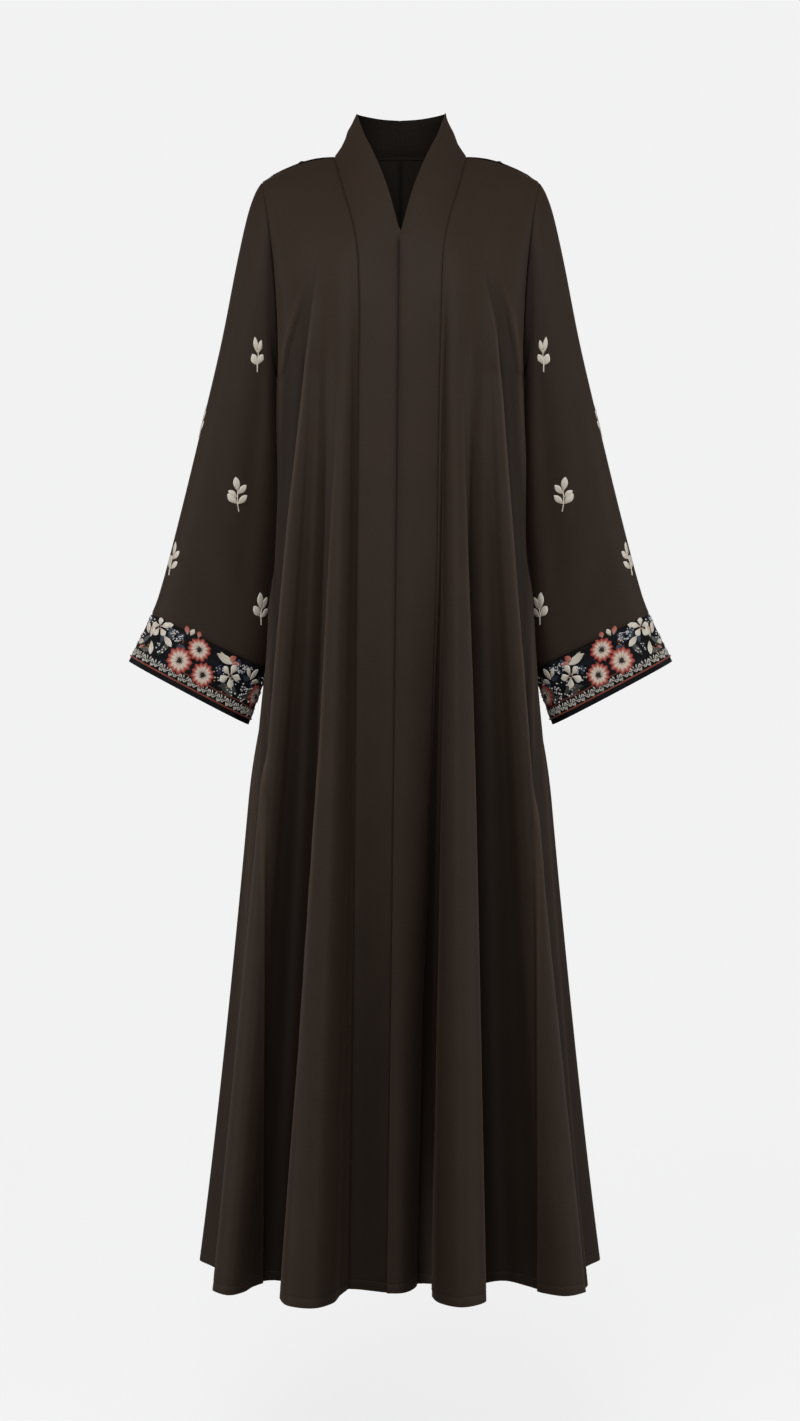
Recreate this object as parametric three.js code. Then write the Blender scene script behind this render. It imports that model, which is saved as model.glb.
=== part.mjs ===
// A full-length open robe (abaya) of soft brown crepe, filled out as when it is worn.
// It has a standing band collar that runs on into two front bands, an A-line body that
// falls in soft flares, and long bell sleeves that end in deep embroidered cuffs.
//
// Millimetres, +Z up, the front faces -Y, the wearer's left is +X. The origin is at the
// height of the neck points of the shoulder seams, in the middle of the neck.
//
// Each cut piece is a grid of points on the middle of its cloth. Two pieces that are sewn
// together share the points of their seam, so the walls meet along the whole seam.

import * as THREE from 'three';

// ---------------------------------------------------------------- driving sizes

const wallThickness = 1.4;
const seamGap = 0.39;

const bustLevel = -290; // also the level of the underarm points
const hemLevel = -1452;
const vPoint = { y: -92, z: -117 };

// The bust line seen from above, and the hem without its flares, that the skirt widens
// towards. Each half is an oval of its own depth, and the squarer the higher its exponent.
const bustOval = {
  halfWidth: 163,
  front: { depth: 112, exponent: 2.7 },
  back: { depth: 105, exponent: 2.4 },
};
const plainHemOval = {
  halfWidth: 256,
  front: { depth: 128, exponent: 2.3 },
  back: { depth: 172, exponent: 2.3 },
};

const neckPoint = { x: 86, y: 2, z: 0 };
const shoulderTip = { x: 180, y: 0, z: -34 };
const shoulderCurve = 1.9; // how late the shoulder line bends down

const underBandDepth = 2.2; // how far the under band lies behind the top band
const topEdge = { atV: -1, atHem: -16 }; // where the top band's free edge runs, in x
const underEdge = { atV: 3, atHem: -1 };

// Where the seat of each sleeve presses the side of the skirt in.
const sideDent = { depth: 28, turn: 112, turnSpread: 46, z: -510, zSpread: 330 };

// ---------------------------------------------------------------- grid counts

const yokeRows = 9; // shoulder to underarm
const skirtRows = 16; // underarm to hem
const collarRows = 5; // centre back to neck point
const frontColumns = 14;
const vRow = 5; // the row of the front grid that ends at the V point
const sleeveSteps = 2; // grid rows between two rows of the sleeve table
const cuffRows = 3;
const aroundSleeve = 2 * yokeRows;

// ---------------------------------------------------------------- short tables

// The hem seen from above, a row for each flare, trough or seam. `turn` is the angle, in
// degrees from the centre front, of the point of the bust line that hangs down to it.
const hemCentreFront = { turn: 0, x: 0, y: -117 };
const hemCentreBack = { turn: 180, x: 0, y: 184 };
const hemLeftHalf = [
  { turn: 25.5, x: 33, y: -80, name: 'band seam' },
  { turn: 27, x: 43, y: -60, name: 'trough beside the band' },
  { turn: 28.4, x: 43, y: -126, name: 'inner flare, inner side' },
  { turn: 30.2, x: 53, y: -170, name: 'inner flare' },
  { turn: 33, x: 75, y: -190, name: 'inner flare, crest' },
  { turn: 36, x: 97, y: -171, name: 'inner flare' },
  { turn: 38.6, x: 107, y: -128, name: 'inner flare, outer side' },
  { turn: 41.2, x: 112, y: -72, name: 'trough' },
  { turn: 45, x: 131, y: -50, name: 'trough' },
  { turn: 49, x: 156, y: -75, name: 'trough' },
  { turn: 52, x: 180, y: -114, name: 'outer flare' },
  { turn: 55, x: 208, y: -129, name: 'outer flare, crest' },
  { turn: 59, x: 236, y: -92, name: 'outer flare' },
  { turn: 64, x: 243, y: -52, name: 'outer flare, outer side' },
  { turn: 75, x: 234, y: -14, name: 'side groove' },
  { turn: 90, x: 237, y: 18, name: 'side seam' },
  { turn: 101, x: 251, y: 54, name: 'side flare' },
  { turn: 109, x: 267, y: 92, name: 'side flare, crest' },
  { turn: 117, x: 257, y: 130, name: 'side flare' },
  { turn: 124, x: 224, y: 136, name: 'trough' },
  { turn: 131, x: 203, y: 161, name: 'back flare' },
  { turn: 137, x: 188, y: 197, name: 'back flare, crest' },
  { turn: 143, x: 156, y: 193, name: 'back flare' },
  { turn: 149, x: 139, y: 151, name: 'trough' },
  { turn: 155, x: 119, y: 149, name: 'trough' },
  { turn: 161, x: 105, y: 199, name: 'inner back flare' },
  { turn: 167, x: 72, y: 211, name: 'inner back flare, crest' },
  { turn: 173, x: 42, y: 174, name: 'trough' },
];
const hemRightHalf = [
  { turn: 25.5, x: 64, y: -92, name: 'band seam' },
  { turn: 27.6, x: 76, y: -120, name: 'inner flare, inner side' },
  { turn: 29.8, x: 86, y: -170, name: 'inner flare' },
  { turn: 32.5, x: 108, y: -196, name: 'inner flare, crest' },
  { turn: 35.3, x: 134, y: -184, name: 'inner flare' },
  { turn: 37.8, x: 147, y: -137, name: 'inner flare, outer side' },
  { turn: 40.4, x: 150, y: -82, name: 'trough' },
  { turn: 44, x: 161, y: -52, name: 'trough' },
  { turn: 47.6, x: 183, y: -76, name: 'trough' },
  { turn: 50.4, x: 196, y: -108, name: 'outer flare' },
  { turn: 53.6, x: 215, y: -124, name: 'outer flare, crest' },
  { turn: 58, x: 237, y: -86, name: 'outer flare' },
  { turn: 63, x: 242, y: -48, name: 'outer flare, outer side' },
  { turn: 75, x: 232, y: -12, name: 'side groove' },
  { turn: 90, x: 238, y: 20, name: 'side seam' },
  { turn: 101, x: 252, y: 52, name: 'side flare' },
  { turn: 109, x: 268, y: 88, name: 'side flare, crest' },
  { turn: 116, x: 260, y: 125, name: 'side flare' },
  { turn: 123, x: 227, y: 131, name: 'trough' },
  { turn: 130, x: 206, y: 150, name: 'back flare' },
  { turn: 136.5, x: 197, y: 188, name: 'back flare, crest' },
  { turn: 143, x: 165, y: 198, name: 'back flare' },
  { turn: 149, x: 141, y: 160, name: 'trough' },
  { turn: 155, x: 115, y: 147, name: 'trough' },
  { turn: 161, x: 99, y: 188, name: 'inner back flare' },
  { turn: 167, x: 65, y: 206, name: 'inner back flare, crest' },
  { turn: 173.5, x: 35, y: 179, name: 'trough' },
];
const bandSeamTurn = 25.5;
const sideSeamTurn = 90;

// The seam between front and band, from the neck point down to the bust line.
const bandSeamRows = [
  { x: 86, y: 2, z: 0 },
  { x: 74, y: -46, z: -50 },
  { x: 62, y: -79, z: -94 },
  { x: 54.5, y: -98, z: -138 },
  { x: 52, y: -107, z: -215 },
];

// The free edge of the collar, from its side down to the V point.
const neckEdgeRows = [
  { x: 56.5, y: -2, z: 55.5 },
  { x: 46.7, y: -27, z: 23.6 },
  { x: 35.5, y: -47, z: -2 },
  { x: 17, y: -73, z: -52 },
];
const centreFrontRows = [
  { y: -104, z: -172 },
  { y: -110, z: -232 },
];

// The back of the neck, from the centre back to the neck point, and the collar's top edge.
const backNeckRows = [
  { x: 0, y: 72, z: 12 },
  { x: 33, y: 67, z: 10.5 },
  { x: 61, y: 51, z: 7 },
  { x: 80, y: 27, z: 2.5 },
];
const collarTopRows = [
  { x: 0, y: 58, z: 60 },
  { x: 24, y: 55, z: 61 },
  { x: 44, y: 42, z: 61.5 },
  { x: 55, y: 21, z: 59.5 },
];
const collarHollow = 4; // how far the collar's outside curves in at the side of the neck

// The sleeve, a row for each cross-section from the armhole to the end of the cuff: the
// points of its outer and inner lines, half its front-to-back depth, and how far the
// section bows in towards the body between them.
const sleeveTable = [
  { outX: 180, outY: 0, outZ: -34, inX: 163, inY: 0, inZ: -290, depth: 50, bow: 7 },
  { outX: 189, outY: 0, outZ: -50, inX: 166, inY: 4, inZ: -293, depth: 53, bow: 6.5 },
  { outX: 199, outY: 1, outZ: -80, inX: 165, inY: 12, inZ: -309, depth: 56, bow: 5 },
  { outX: 213, outY: 4, outZ: -142, inX: 162, inY: 26, inZ: -346, depth: 59, bow: 3 },
  { outX: 233, outY: 9, outZ: -242, inX: 164, inY: 38, inZ: -412, depth: 62, bow: 0 },
  { outX: 260, outY: 16, outZ: -354, inX: 166, inY: 46, inZ: -488, depth: 62, bow: 0 },
  { outX: 287, outY: 23, outZ: -462, inX: 168, inY: 51, inZ: -560, depth: 62, bow: 0 },
  { outX: 311, outY: 28, outZ: -552, inX: 170, inY: 54, inZ: -622, depth: 62, bow: 0 },
  { outX: 326, outY: 31, outZ: -594, inX: 176, inY: 54, inZ: -666, depth: 62, bow: 0 },
  { outX: 356, outY: 35, outZ: -655, inX: 201, inY: 54, inZ: -738, depth: 62, bow: 0 },
];
const cuffTop = sleeveTable.length - 2;
const cuffEnd = sleeveTable.length - 1;
const sleeveRoundness = 2.2;

// ---------------------------------------------------------------- curves

const radians = (degrees) => THREE.MathUtils.degToRad(degrees);
const mix = (a, b, share) => a + (b - a) * share;
const bell = (offset, spread) =>
  Math.cos((Math.PI / 2) * Math.min(Math.abs(offset / spread), 1)) ** 2;

// A cubic through the rows of a table, read at `at` in the row's own `knot` values.
function readCurve(rows, column, at) {
  let k = 1;
  while (k < rows.length - 2 && at > rows[k + 1].knot) k += 1;
  k = Math.max(0, Math.min(k, rows.length - 2));
  if (at < rows[k].knot && k > 0) k -= 1;
  const [a, b] = [rows[k], rows[k + 1]];
  const span = b.knot - a.knot;
  const t = (at - a.knot) / span;
  const startSlope = slopeAt(rows, column, k) * span;
  const endSlope = slopeAt(rows, column, k + 1) * span;
  const rise = b[column] - a[column];
  const bend = 3 * rise - 2 * startSlope - endSlope;
  const twist = startSlope + endSlope - 2 * rise;
  return a[column] + t * (startSlope + t * (bend + t * twist));
}

// The slope of the parabola through a row and its two neighbours.
function slopeAt(rows, column, k) {
  const before = Math.max(k - 1, 0);
  const after = Math.min(k + 1, rows.length - 1);
  const grade = (p, q) => (rows[q][column] - rows[p][column]) / (rows[q].knot - rows[p].knot);
  if (before === k) return grade(k, after);
  if (after === k) return grade(before, k);
  const [left, right] = [grade(before, k), grade(k, after)];
  if (column === 'turn') return (2 * left * right) / (left + right); // keeps the order
  const [near, far] = [rows[k].knot - rows[before].knot, rows[after].knot - rows[k].knot];
  return (left * far + right * near) / (near + far);
}

// The point of an oval in the direction `turn` from the centre front.
function ovalPoint({ halfWidth, front, back }, turn) {
  const [across, ahead] = [Math.sin(radians(turn)), Math.cos(radians(turn))];
  const { depth, exponent } = ahead > 0 ? front : back;
  const parts = Math.abs(across / halfWidth) ** exponent + Math.abs(ahead / depth) ** exponent;
  const reach = parts ** (-1 / exponent);
  return { x: reach * across, y: -reach * ahead };
}

// The whole hem as one closed table, from centre back round the wearer's right, the front
// and the left to centre back again. A row's knot is the root of its distance to the last.
function closedHem() {
  const right = hemRightHalf.map(({ turn, x, y }) => ({ turn: -turn, x: -x, y })).reverse();
  const start = { ...hemCentreBack, turn: -180 };
  const ring = [start, ...right, hemCentreFront, ...hemLeftHalf, hemCentreBack];
  const shifted = (row, lap) => ({ ...row, turn: row.turn + lap });
  const rows = [shifted(ring[ring.length - 2], -360), ...ring, shifted(ring[1], 360)];
  let knot = 0;
  return rows.map((row, k) => {
    if (k > 0) knot += Math.sqrt(Math.hypot(row.x - rows[k - 1].x, row.y - rows[k - 1].y));
    return { ...row, knot };
  });
}
const hemRows = closedHem();

// The knot of the hem under a point of the bust line, found by halving.
function knotAtTurn(turn) {
  let low = hemRows[0].knot;
  let high = hemRows[hemRows.length - 1].knot;
  for (let step = 0; step < 44; step += 1) {
    const middle = (low + high) / 2;
    if (readCurve(hemRows, 'turn', middle) < turn) low = middle;
    else high = middle;
  }
  return (low + high) / 2;
}

function foldedHem(turn) {
  const knot = knotAtTurn(turn);
  return { x: readCurve(hemRows, 'x', knot), y: readCurve(hemRows, 'y', knot) };
}

// ---------------------------------------------------------------- the body's surface

const skirtShare = (z) => Math.max(0, (bustLevel - z) / (bustLevel - hemLevel));
const widening = (z) => 0.93 * skirtShare(z) ** 1.08 + 0.07 * skirtShare(z) ** 6;
const foldStart = -140;
const foldGrowth = (z) => ((foldStart - z) / (foldStart - hemLevel)) ** 1.12;

// The body below the underarm: the bust line widens to the plain hem while the flares grow.
function body(turn, z) {
  const bust = ovalPoint(bustOval, turn);
  const plain = ovalPoint(plainHemOval, turn);
  const folded = foldedHem(turn);
  const [wide, deep] = [widening(z), foldGrowth(z)];
  const dent =
    sideDent.depth *
    bell(Math.abs(turn) - sideDent.turn, sideDent.turnSpread) *
    bell(z - sideDent.z, sideDent.zSpread);
  const x = mix(bust.x, plain.x, wide) + (folded.x - plain.x) * deep;
  const y = mix(bust.y, plain.y, wide) + (folded.y - plain.y) * deep;
  return new THREE.Vector3(x - Math.sign(turn) * dent, y, z);
}

// Turns between two seams, spaced so that the columns are even on the lower skirt.
function evenTurns(from, to, count) {
  const fine = 400;
  const level = mix(bustLevel, hemLevel, 0.6);
  const walked = [0];
  let last = body(from, level);
  for (let k = 1; k <= fine; k += 1) {
    const next = body(mix(from, to, k / fine), level);
    walked.push(walked[k - 1] + next.distanceTo(last));
    last = next;
  }
  const turns = [];
  for (let column = 0; column <= count; column += 1) {
    const target = (walked[fine] * column) / count;
    const k = Math.max(1, walked.findIndex((length) => length >= target - 1e-6));
    const share = (target - walked[k - 1]) / (walked[k] - walked[k - 1]);
    turns.push(mix(from, to, (k - 1 + share) / fine));
  }
  return turns;
}

const skirtLevels = Array.from({ length: skirtRows + 1 }, (_, row) =>
  mix(bustLevel, hemLevel, row / skirtRows));

// ---------------------------------------------------------------- seams of the yoke

const point = (row, side = 1) => new THREE.Vector3(side * (row.x ?? 0), row.y, row.z);
const spaced = (points, count) =>
  new THREE.CatmullRomCurve3(points, false, 'centripetal').getSpacedPoints(count);

const bandSeam = (side) =>
  spaced(
    [...bandSeamRows.map((row) => point(row, side)), body(side * bandSeamTurn, bustLevel)],
    yokeRows,
  );

function shoulderPoint(side, share) {
  const x = mix(neckPoint.x, shoulderTip.x, share);
  const y = mix(neckPoint.y, shoulderTip.y, share);
  const z = mix(neckPoint.z, shoulderTip.z, share ** shoulderCurve);
  return new THREE.Vector3(side * x, y, z);
}

const backNeck = (side) =>
  spaced([...backNeckRows.map((row) => point(row, side)), point(neckPoint, side)], collarRows);

const collarTop = (side) =>
  spaced(
    [...collarTopRows.map((row) => point(row, side)), point(neckEdgeRows[0], side)],
    collarRows,
  );

// One cross-section of a sleeve. `angle` 0 is the outer line, 90 the front, 180 the inner.
const sleeveRows = sleeveTable.map((row, k) => ({ ...row, knot: k }));

function sleevePoint(side, at, angle) {
  const read = (column) => readCurve(sleeveRows, column, at);
  const [down, forward] = [Math.cos(radians(angle)), Math.sin(radians(angle))];
  const along = Math.sign(down) * Math.abs(down) ** (2 / sleeveRoundness);
  const across = Math.sign(forward) * Math.abs(forward) ** (2 / sleeveRoundness);
  const share = (1 - along) / 2;
  const inner = new THREE.Vector3(side * read('inX'), read('inY'), read('inZ'));
  if (at < 1) inner.lerp(body(side * sideSeamTurn, bustLevel), 1 - at);
  const outer = new THREE.Vector3(side * read('outX'), read('outY'), read('outZ'));
  const middle = outer.lerp(inner, share);
  middle.x -= side * read('bow') * (1 - along * along);
  middle.y -= read('depth') * across;
  return middle;
}

const armhole = (side, row, backward = 1) =>
  sleevePoint(side, 0, (backward * 180 * row) / yokeRows);

// A patch between four edges: lines from its start edge to its end edge, which swell out
// as its lower edge does, in step with how far apart in depth the two ends of a line are.
// The flares of the lower edge and the corner of the upper edge fade out between them.
const flareFade = 2.6;
const cornerFade = 3;

function yokePatch(top, bottom, plainBottom, start, end) {
  const [rows, columns] = [start.length - 1, top.length - 1];
  const [lowStart, lowEnd] = [bottom[0], bottom[columns]];
  const grid = [];
  for (let i = 0; i <= rows; i += 1) {
    const v = i / rows;
    const upperShare = (1 - v) ** cornerFade;
    const depthShare = (start[i].y - end[i].y) / (lowStart.y - lowEnd.y);
    const line = [];
    for (let j = 0; j <= columns; j += 1) {
      const u = j / columns;
      const place = start[i].clone().lerp(end[i], u);
      const corner = top[j].clone().sub(top[0].clone().lerp(top[columns], u));
      place.addScaledVector(corner, upperShare);
      const chord = plainBottom[0].clone().lerp(plainBottom[columns], u);
      const swell = plainBottom[j].clone().sub(chord);
      place.x += swell.x * v;
      place.y += swell.y * depthShare * (1 - upperShare);
      const flare = bottom[j].clone().sub(lowStart.clone().lerp(lowEnd, u)).sub(swell);
      place.addScaledVector(flare, v ** flareFade);
      line.push(place);
    }
    grid.push(line);
  }
  return grid;
}

const plainBust = (turn) => {
  const { x, y } = ovalPoint(bustOval, turn);
  return new THREE.Vector3(x, y, bustLevel);
};
const steps = (count) => Array.from({ length: count + 1 }, (_, k) => k);

// ---------------------------------------------------------------- the cut pieces

function frontGrid(side) {
  const turns = evenTurns(side * bandSeamTurn, side * sideSeamTurn, frontColumns);
  const top = steps(frontColumns).map((k) => shoulderPoint(side, k / frontColumns));
  const bottom = turns.map((turn) => body(turn, bustLevel));
  const sleeveEdge = steps(yokeRows).map((row) => armhole(side, row));
  const yoke = yokePatch(top, bottom, turns.map(plainBust), bandSeam(side), sleeveEdge);
  const skirt = skirtLevels.slice(1).map((z) => turns.map((turn) => body(turn, z)));
  return [...yoke, ...skirt];
}

function backGrid(side) {
  const columns = collarRows + frontColumns;
  const turns = evenTurns(side * 180, side * sideSeamTurn, columns);
  const neck = backNeck(side);
  const shoulder = steps(frontColumns).slice(1);
  const top = [...neck, ...shoulder.map((k) => shoulderPoint(side, k / frontColumns))];
  const bottom = turns.map((turn) => body(turn, bustLevel));
  const lowest = bottom[0];
  const centre = steps(yokeRows).map((row) => {
    const share = row / yokeRows;
    const y = mix(neck[0].y, lowest.y, 1 - (1 - share) ** 2.2);
    return new THREE.Vector3(0, y, mix(neck[0].z, lowest.z, share));
  });
  const sleeveEdge = steps(yokeRows).map((row) => armhole(side, row, -1));
  const yoke = yokePatch(top, bottom, turns.map(plainBust), centre, sleeveEdge);
  const skirt = skirtLevels.slice(1).map((z) => turns.map((turn) => body(turn, z)));
  return [...yoke, ...skirt];
}

// How far the free edges of the two bands lie from the centre line at a level.
function edgeAt(edge, z) {
  const share = THREE.MathUtils.clamp((vPoint.z - z) / (vPoint.z - hemLevel), 0, 1);
  return mix(edge.atV, edge.atHem, share ** 1.2);
}
const degreesPerMillimetre = 0.52; // of the body's turn, near the centre front

// A band with its half of the collar: from centre back to the neck point, then down to the
// hem. Its columns run from the seam to the free edge, and two of them bound the overlap.
function bandGrid(side) {
  const onTop = side > 0;
  const seam = [...backNeck(side), ...bandSeam(side).slice(1)];
  const edgeRow = collarRows + vRow;
  const vTip = new THREE.Vector3(0, vPoint.y, vPoint.z);
  const neckEdge = [...neckEdgeRows.map((row) => point(row, side)), vTip];
  const centre = [vTip, ...centreFrontRows.map((row) => point(row)), body(0, bustLevel)];
  const inner = [
    ...collarTop(side),
    ...spaced(neckEdge, vRow).slice(1),
    ...spaced(centre, yokeRows - vRow).slice(1),
  ];
  const rows = seam.map((start, row) => {
    const end = inner[row];
    const width = Math.hypot(end.x - start.x, end.z - start.z);
    const shares = row < edgeRow ? [0, 0.3, 0.65, 1] : overlapShares(onTop, end.z, width);
    const hollow = collarHollow * THREE.MathUtils.clamp(1 - (row - collarRows) / 3, 0, 1);
    const fullness = row > collarRows + 2 ? 1.3 : 0;
    return shares.map((share, column) => {
      const place = start.clone().lerp(end, share);
      const arch = 4 * Math.min(share, 1) * Math.max(0, 1 - share);
      const sideways = new THREE.Vector3(place.x, place.y, 0).normalize();
      place.addScaledVector(sideways, -hollow * arch * (1 - share));
      place.y -= fullness * arch;
      if (!onTop && row >= edgeRow) place.y += underBandDepth * [0, 0.6, 1, 1][column];
      return place;
    });
  });
  const below = skirtLevels.map((z) => bandTurns(onTop, z).map((turn, column) => {
    const place = body(turn, z);
    if (!onTop) place.y += underBandDepth * [0, 0.6, 1, 1][column];
    return place;
  }));
  return [...rows.slice(0, -1), ...below];
}

function overlapShares(onTop, z, width) {
  const [top, under] = [edgeAt(topEdge, z), edgeAt(underEdge, z)];
  const near = onTop ? 1 - under / width : 1 + top / width;
  const far = onTop ? 1 - top / width : 1 + under / width;
  return [0, near / 2, near, far];
}

function bandTurns(onTop, z) {
  const top = degreesPerMillimetre * edgeAt(topEdge, z);
  const under = degreesPerMillimetre * edgeAt(underEdge, z);
  const start = onTop ? bandSeamTurn : -bandSeamTurn;
  const [near, far] = onTop ? [under, top] : [top, under];
  return [start, (start + near) / 2, near, far];
}

function tubeGrid(side, from, to, rows) {
  return steps(rows).map((row) =>
    steps(aroundSleeve - 1).map((k) =>
      sleevePoint(side, mix(from, to, row / rows), (360 * k) / aroundSleeve)));
}

// ---------------------------------------------------------------- cloth walls

const pieces = [];
function addPiece(name, grid, look) {
  pieces.push({ name, grid, ...look });
}

for (const [hand, side] of [['right', -1], ['left', 1]]) {
  const sewn = { top: true, start: true, end: true };
  addPiece(`front_${hand}`, frontGrid(side), { ...sewn, facing: -side, cloth: 'crepe' });
  addPiece(`back_${hand}`, backGrid(side), { ...sewn, facing: side, cloth: 'crepe' });
  addPiece(`band_${hand}`, bandGrid(side), {
    top: true, start: true, facing: side, cloth: 'crepe',
  });
  addPiece(`sleeve_${hand}`, tubeGrid(side, 0, cuffTop, cuffTop * sleeveSteps), {
    tube: true, top: true, bottom: true, facing: side, cloth: 'crepe',
  });
  addPiece(`cuff_${hand}`, tubeGrid(side, cuffTop, cuffEnd, cuffRows), {
    tube: true, top: true, facing: side, cloth: 'cuff',
  });
}

// Normals are shared by all the pieces that meet at a point, so seams stay closed.
const sharedNormals = new Map();
const keyOf = (place) => place.toArray().map((value) => Math.round(value * 100)).join(' ');

function addNormal(place, normal) {
  const key = keyOf(place);
  if (!sharedNormals.has(key)) sharedNormals.set(key, new THREE.Vector3());
  sharedNormals.get(key).add(normal);
}

for (const { grid, tube, facing } of pieces) {
  const columns = grid[0].length;
  const last = tube ? columns : columns - 1;
  for (let i = 0; i < grid.length - 1; i += 1) {
    for (let j = 0; j < last; j += 1) {
      const next = (j + 1) % columns;
      const corners = [grid[i][j], grid[i][next], grid[i + 1][j], grid[i + 1][next]];
      const falling = corners[3].clone().sub(corners[0]);
      const rising = corners[2].clone().sub(corners[1]);
      const normal = falling.cross(rising).normalize().multiplyScalar(facing);
      corners.forEach((corner) => addNormal(corner, normal));
    }
  }
}

// The way off one stretch of a seam: along the cloth, square to the stretch, and inwards.
function wayOff(from, to, inside, normal) {
  const line = to.clone().sub(from);
  line.addScaledVector(normal, -line.dot(normal)).normalize();
  const way = inside.clone().sub(from);
  way.addScaledVector(normal, -way.dot(normal));
  return way.addScaledVector(line, -way.dot(line)).normalize();
}

// How far a point of the grid moves off the one or two stretches of seam that end in it.
function offSeams({ grid, tube, top, bottom, start, end }, i, j, normal) {
  const [lastRow, columns] = [grid.length - 1, grid[0].length];
  const lastColumn = columns - 1;
  const ways = [];
  const place = grid[i][j];
  const middle = (a, b) => a.clone().lerp(b, 0.5);
  const beside = (row, inner) => {
    for (const k of [j - 1, j + 1]) {
      if (!tube && (k < 0 || k > lastColumn)) continue;
      const column = (k + columns) % columns;
      ways.push(wayOff(place, grid[row][column], middle(grid[inner][j], grid[inner][column]),
        normal));
    }
  };
  const along = (column, inner) => {
    for (const k of [i - 1, i + 1]) {
      if (k < 0 || k > lastRow) continue;
      ways.push(wayOff(place, grid[k][column], middle(grid[i][inner], grid[k][inner]), normal));
    }
  };
  if (top && i === 0) beside(0, 1);
  if (bottom && i === lastRow) beside(lastRow, lastRow - 1);
  if (start && j === 0) along(0, 1);
  if (end && j === lastColumn) along(lastColumn, lastColumn - 1);
  if (ways.length === 0) return new THREE.Vector3();
  const sum = ways[0].clone();
  if (ways.length === 1) return sum.multiplyScalar(seamGap / 2);
  const turnedTo = Math.max(ways[0].dot(ways[1]), -0.5);
  return sum.add(ways[1]).multiplyScalar(seamGap / 2 / (1 + turnedTo));
}

function clothWall(piece) {
  const { grid, tube, facing } = piece;
  const [rows, columns] = [grid.length, grid[0].length];
  const positions = [];
  const index = (i, j, layer) => 2 * (i * columns + (j % columns)) + layer;
  for (let i = 0; i < rows; i += 1) {
    for (let j = 0; j < columns; j += 1) {
      const normal = sharedNormals.get(keyOf(grid[i][j])).clone().normalize();
      const middle = grid[i][j].clone().add(offSeams(piece, i, j, normal));
      for (const half of [wallThickness / 2, -wallThickness / 2]) {
        positions.push(...middle.clone().addScaledVector(normal, half).toArray());
      }
    }
  }

  const faces = [];
  const addQuad = (a, b, c, d, flip, split) => {
    const corners = flip ? [a, d, c, b] : [a, b, c, d];
    const [p, q, r, s] = corners;
    faces.push(...(split ? [p, q, r, p, r, s] : [p, q, s, q, r, s]));
  };
  const outsideIn = facing > 0;
  const lastColumn = tube ? columns : columns - 1;
  for (let i = 0; i < rows - 1; i += 1) {
    for (let j = 0; j < lastColumn; j += 1) {
      const next = (j + 1) % columns;
      const falling = grid[i][j].distanceTo(grid[i + 1][next]);
      const rising = grid[i][next].distanceTo(grid[i + 1][j]);
      for (const layer of [0, 1]) {
        const flip = (layer === 0) === outsideIn;
        const corners = [
          index(i, j, layer), index(i + 1, j, layer),
          index(i + 1, j + 1, layer), index(i, j + 1, layer),
        ];
        addQuad(...corners, flip, falling < rising);
      }
    }
  }
  const addRim = (a, b, flip) => addQuad(a, b, b + 1, a + 1, flip, true);
  for (let j = 0; j < lastColumn; j += 1) {
    addRim(index(0, j, 0), index(0, j + 1, 0), outsideIn);
    addRim(index(rows - 1, j, 0), index(rows - 1, j + 1, 0), !outsideIn);
  }
  for (let i = 0; i < rows - 1 && !tube; i += 1) {
    addRim(index(i, 0, 0), index(i + 1, 0, 0), !outsideIn);
    addRim(index(i, columns - 1, 0), index(i + 1, columns - 1, 0), outsideIn);
  }

  const geometry = new THREE.BufferGeometry();
  geometry.setAttribute('position', new THREE.Float32BufferAttribute(positions, 3));
  geometry.setIndex(faces);
  geometry.computeVertexNormals();
  return geometry;
}

// ---------------------------------------------------------------- the robe

const cloths = {
  crepe: new THREE.MeshStandardMaterial({ color: 0x33291f, roughness: 0.62, metalness: 0 }),
  cuff: new THREE.MeshStandardMaterial({ color: 0x15120f, roughness: 0.7, metalness: 0 }),
};

const robe = new THREE.Group();
for (const piece of pieces) {
  const mesh = new THREE.Mesh(clothWall(piece), cloths[piece.cloth]);
  mesh.name = piece.name;
  robe.add(mesh);
}

export default robe;
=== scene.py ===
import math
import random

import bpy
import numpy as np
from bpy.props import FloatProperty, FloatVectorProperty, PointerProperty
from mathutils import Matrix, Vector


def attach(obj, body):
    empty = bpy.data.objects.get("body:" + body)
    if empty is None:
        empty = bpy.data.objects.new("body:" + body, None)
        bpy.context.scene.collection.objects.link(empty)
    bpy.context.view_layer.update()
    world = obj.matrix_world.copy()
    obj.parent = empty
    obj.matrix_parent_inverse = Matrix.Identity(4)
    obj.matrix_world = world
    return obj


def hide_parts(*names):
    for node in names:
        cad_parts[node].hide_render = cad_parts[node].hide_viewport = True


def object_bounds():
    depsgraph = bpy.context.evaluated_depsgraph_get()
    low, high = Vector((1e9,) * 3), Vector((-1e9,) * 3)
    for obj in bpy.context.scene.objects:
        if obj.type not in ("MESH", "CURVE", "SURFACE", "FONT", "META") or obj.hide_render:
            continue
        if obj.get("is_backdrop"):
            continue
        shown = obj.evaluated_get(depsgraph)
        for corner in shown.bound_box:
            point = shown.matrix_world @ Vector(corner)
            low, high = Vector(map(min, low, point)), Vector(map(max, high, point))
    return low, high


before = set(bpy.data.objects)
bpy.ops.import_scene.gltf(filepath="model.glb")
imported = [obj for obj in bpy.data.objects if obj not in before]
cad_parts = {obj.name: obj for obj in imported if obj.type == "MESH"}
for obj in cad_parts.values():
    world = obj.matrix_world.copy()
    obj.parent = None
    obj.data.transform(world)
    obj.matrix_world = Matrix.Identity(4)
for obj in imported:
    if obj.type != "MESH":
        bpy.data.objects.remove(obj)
cad_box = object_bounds()

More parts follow.
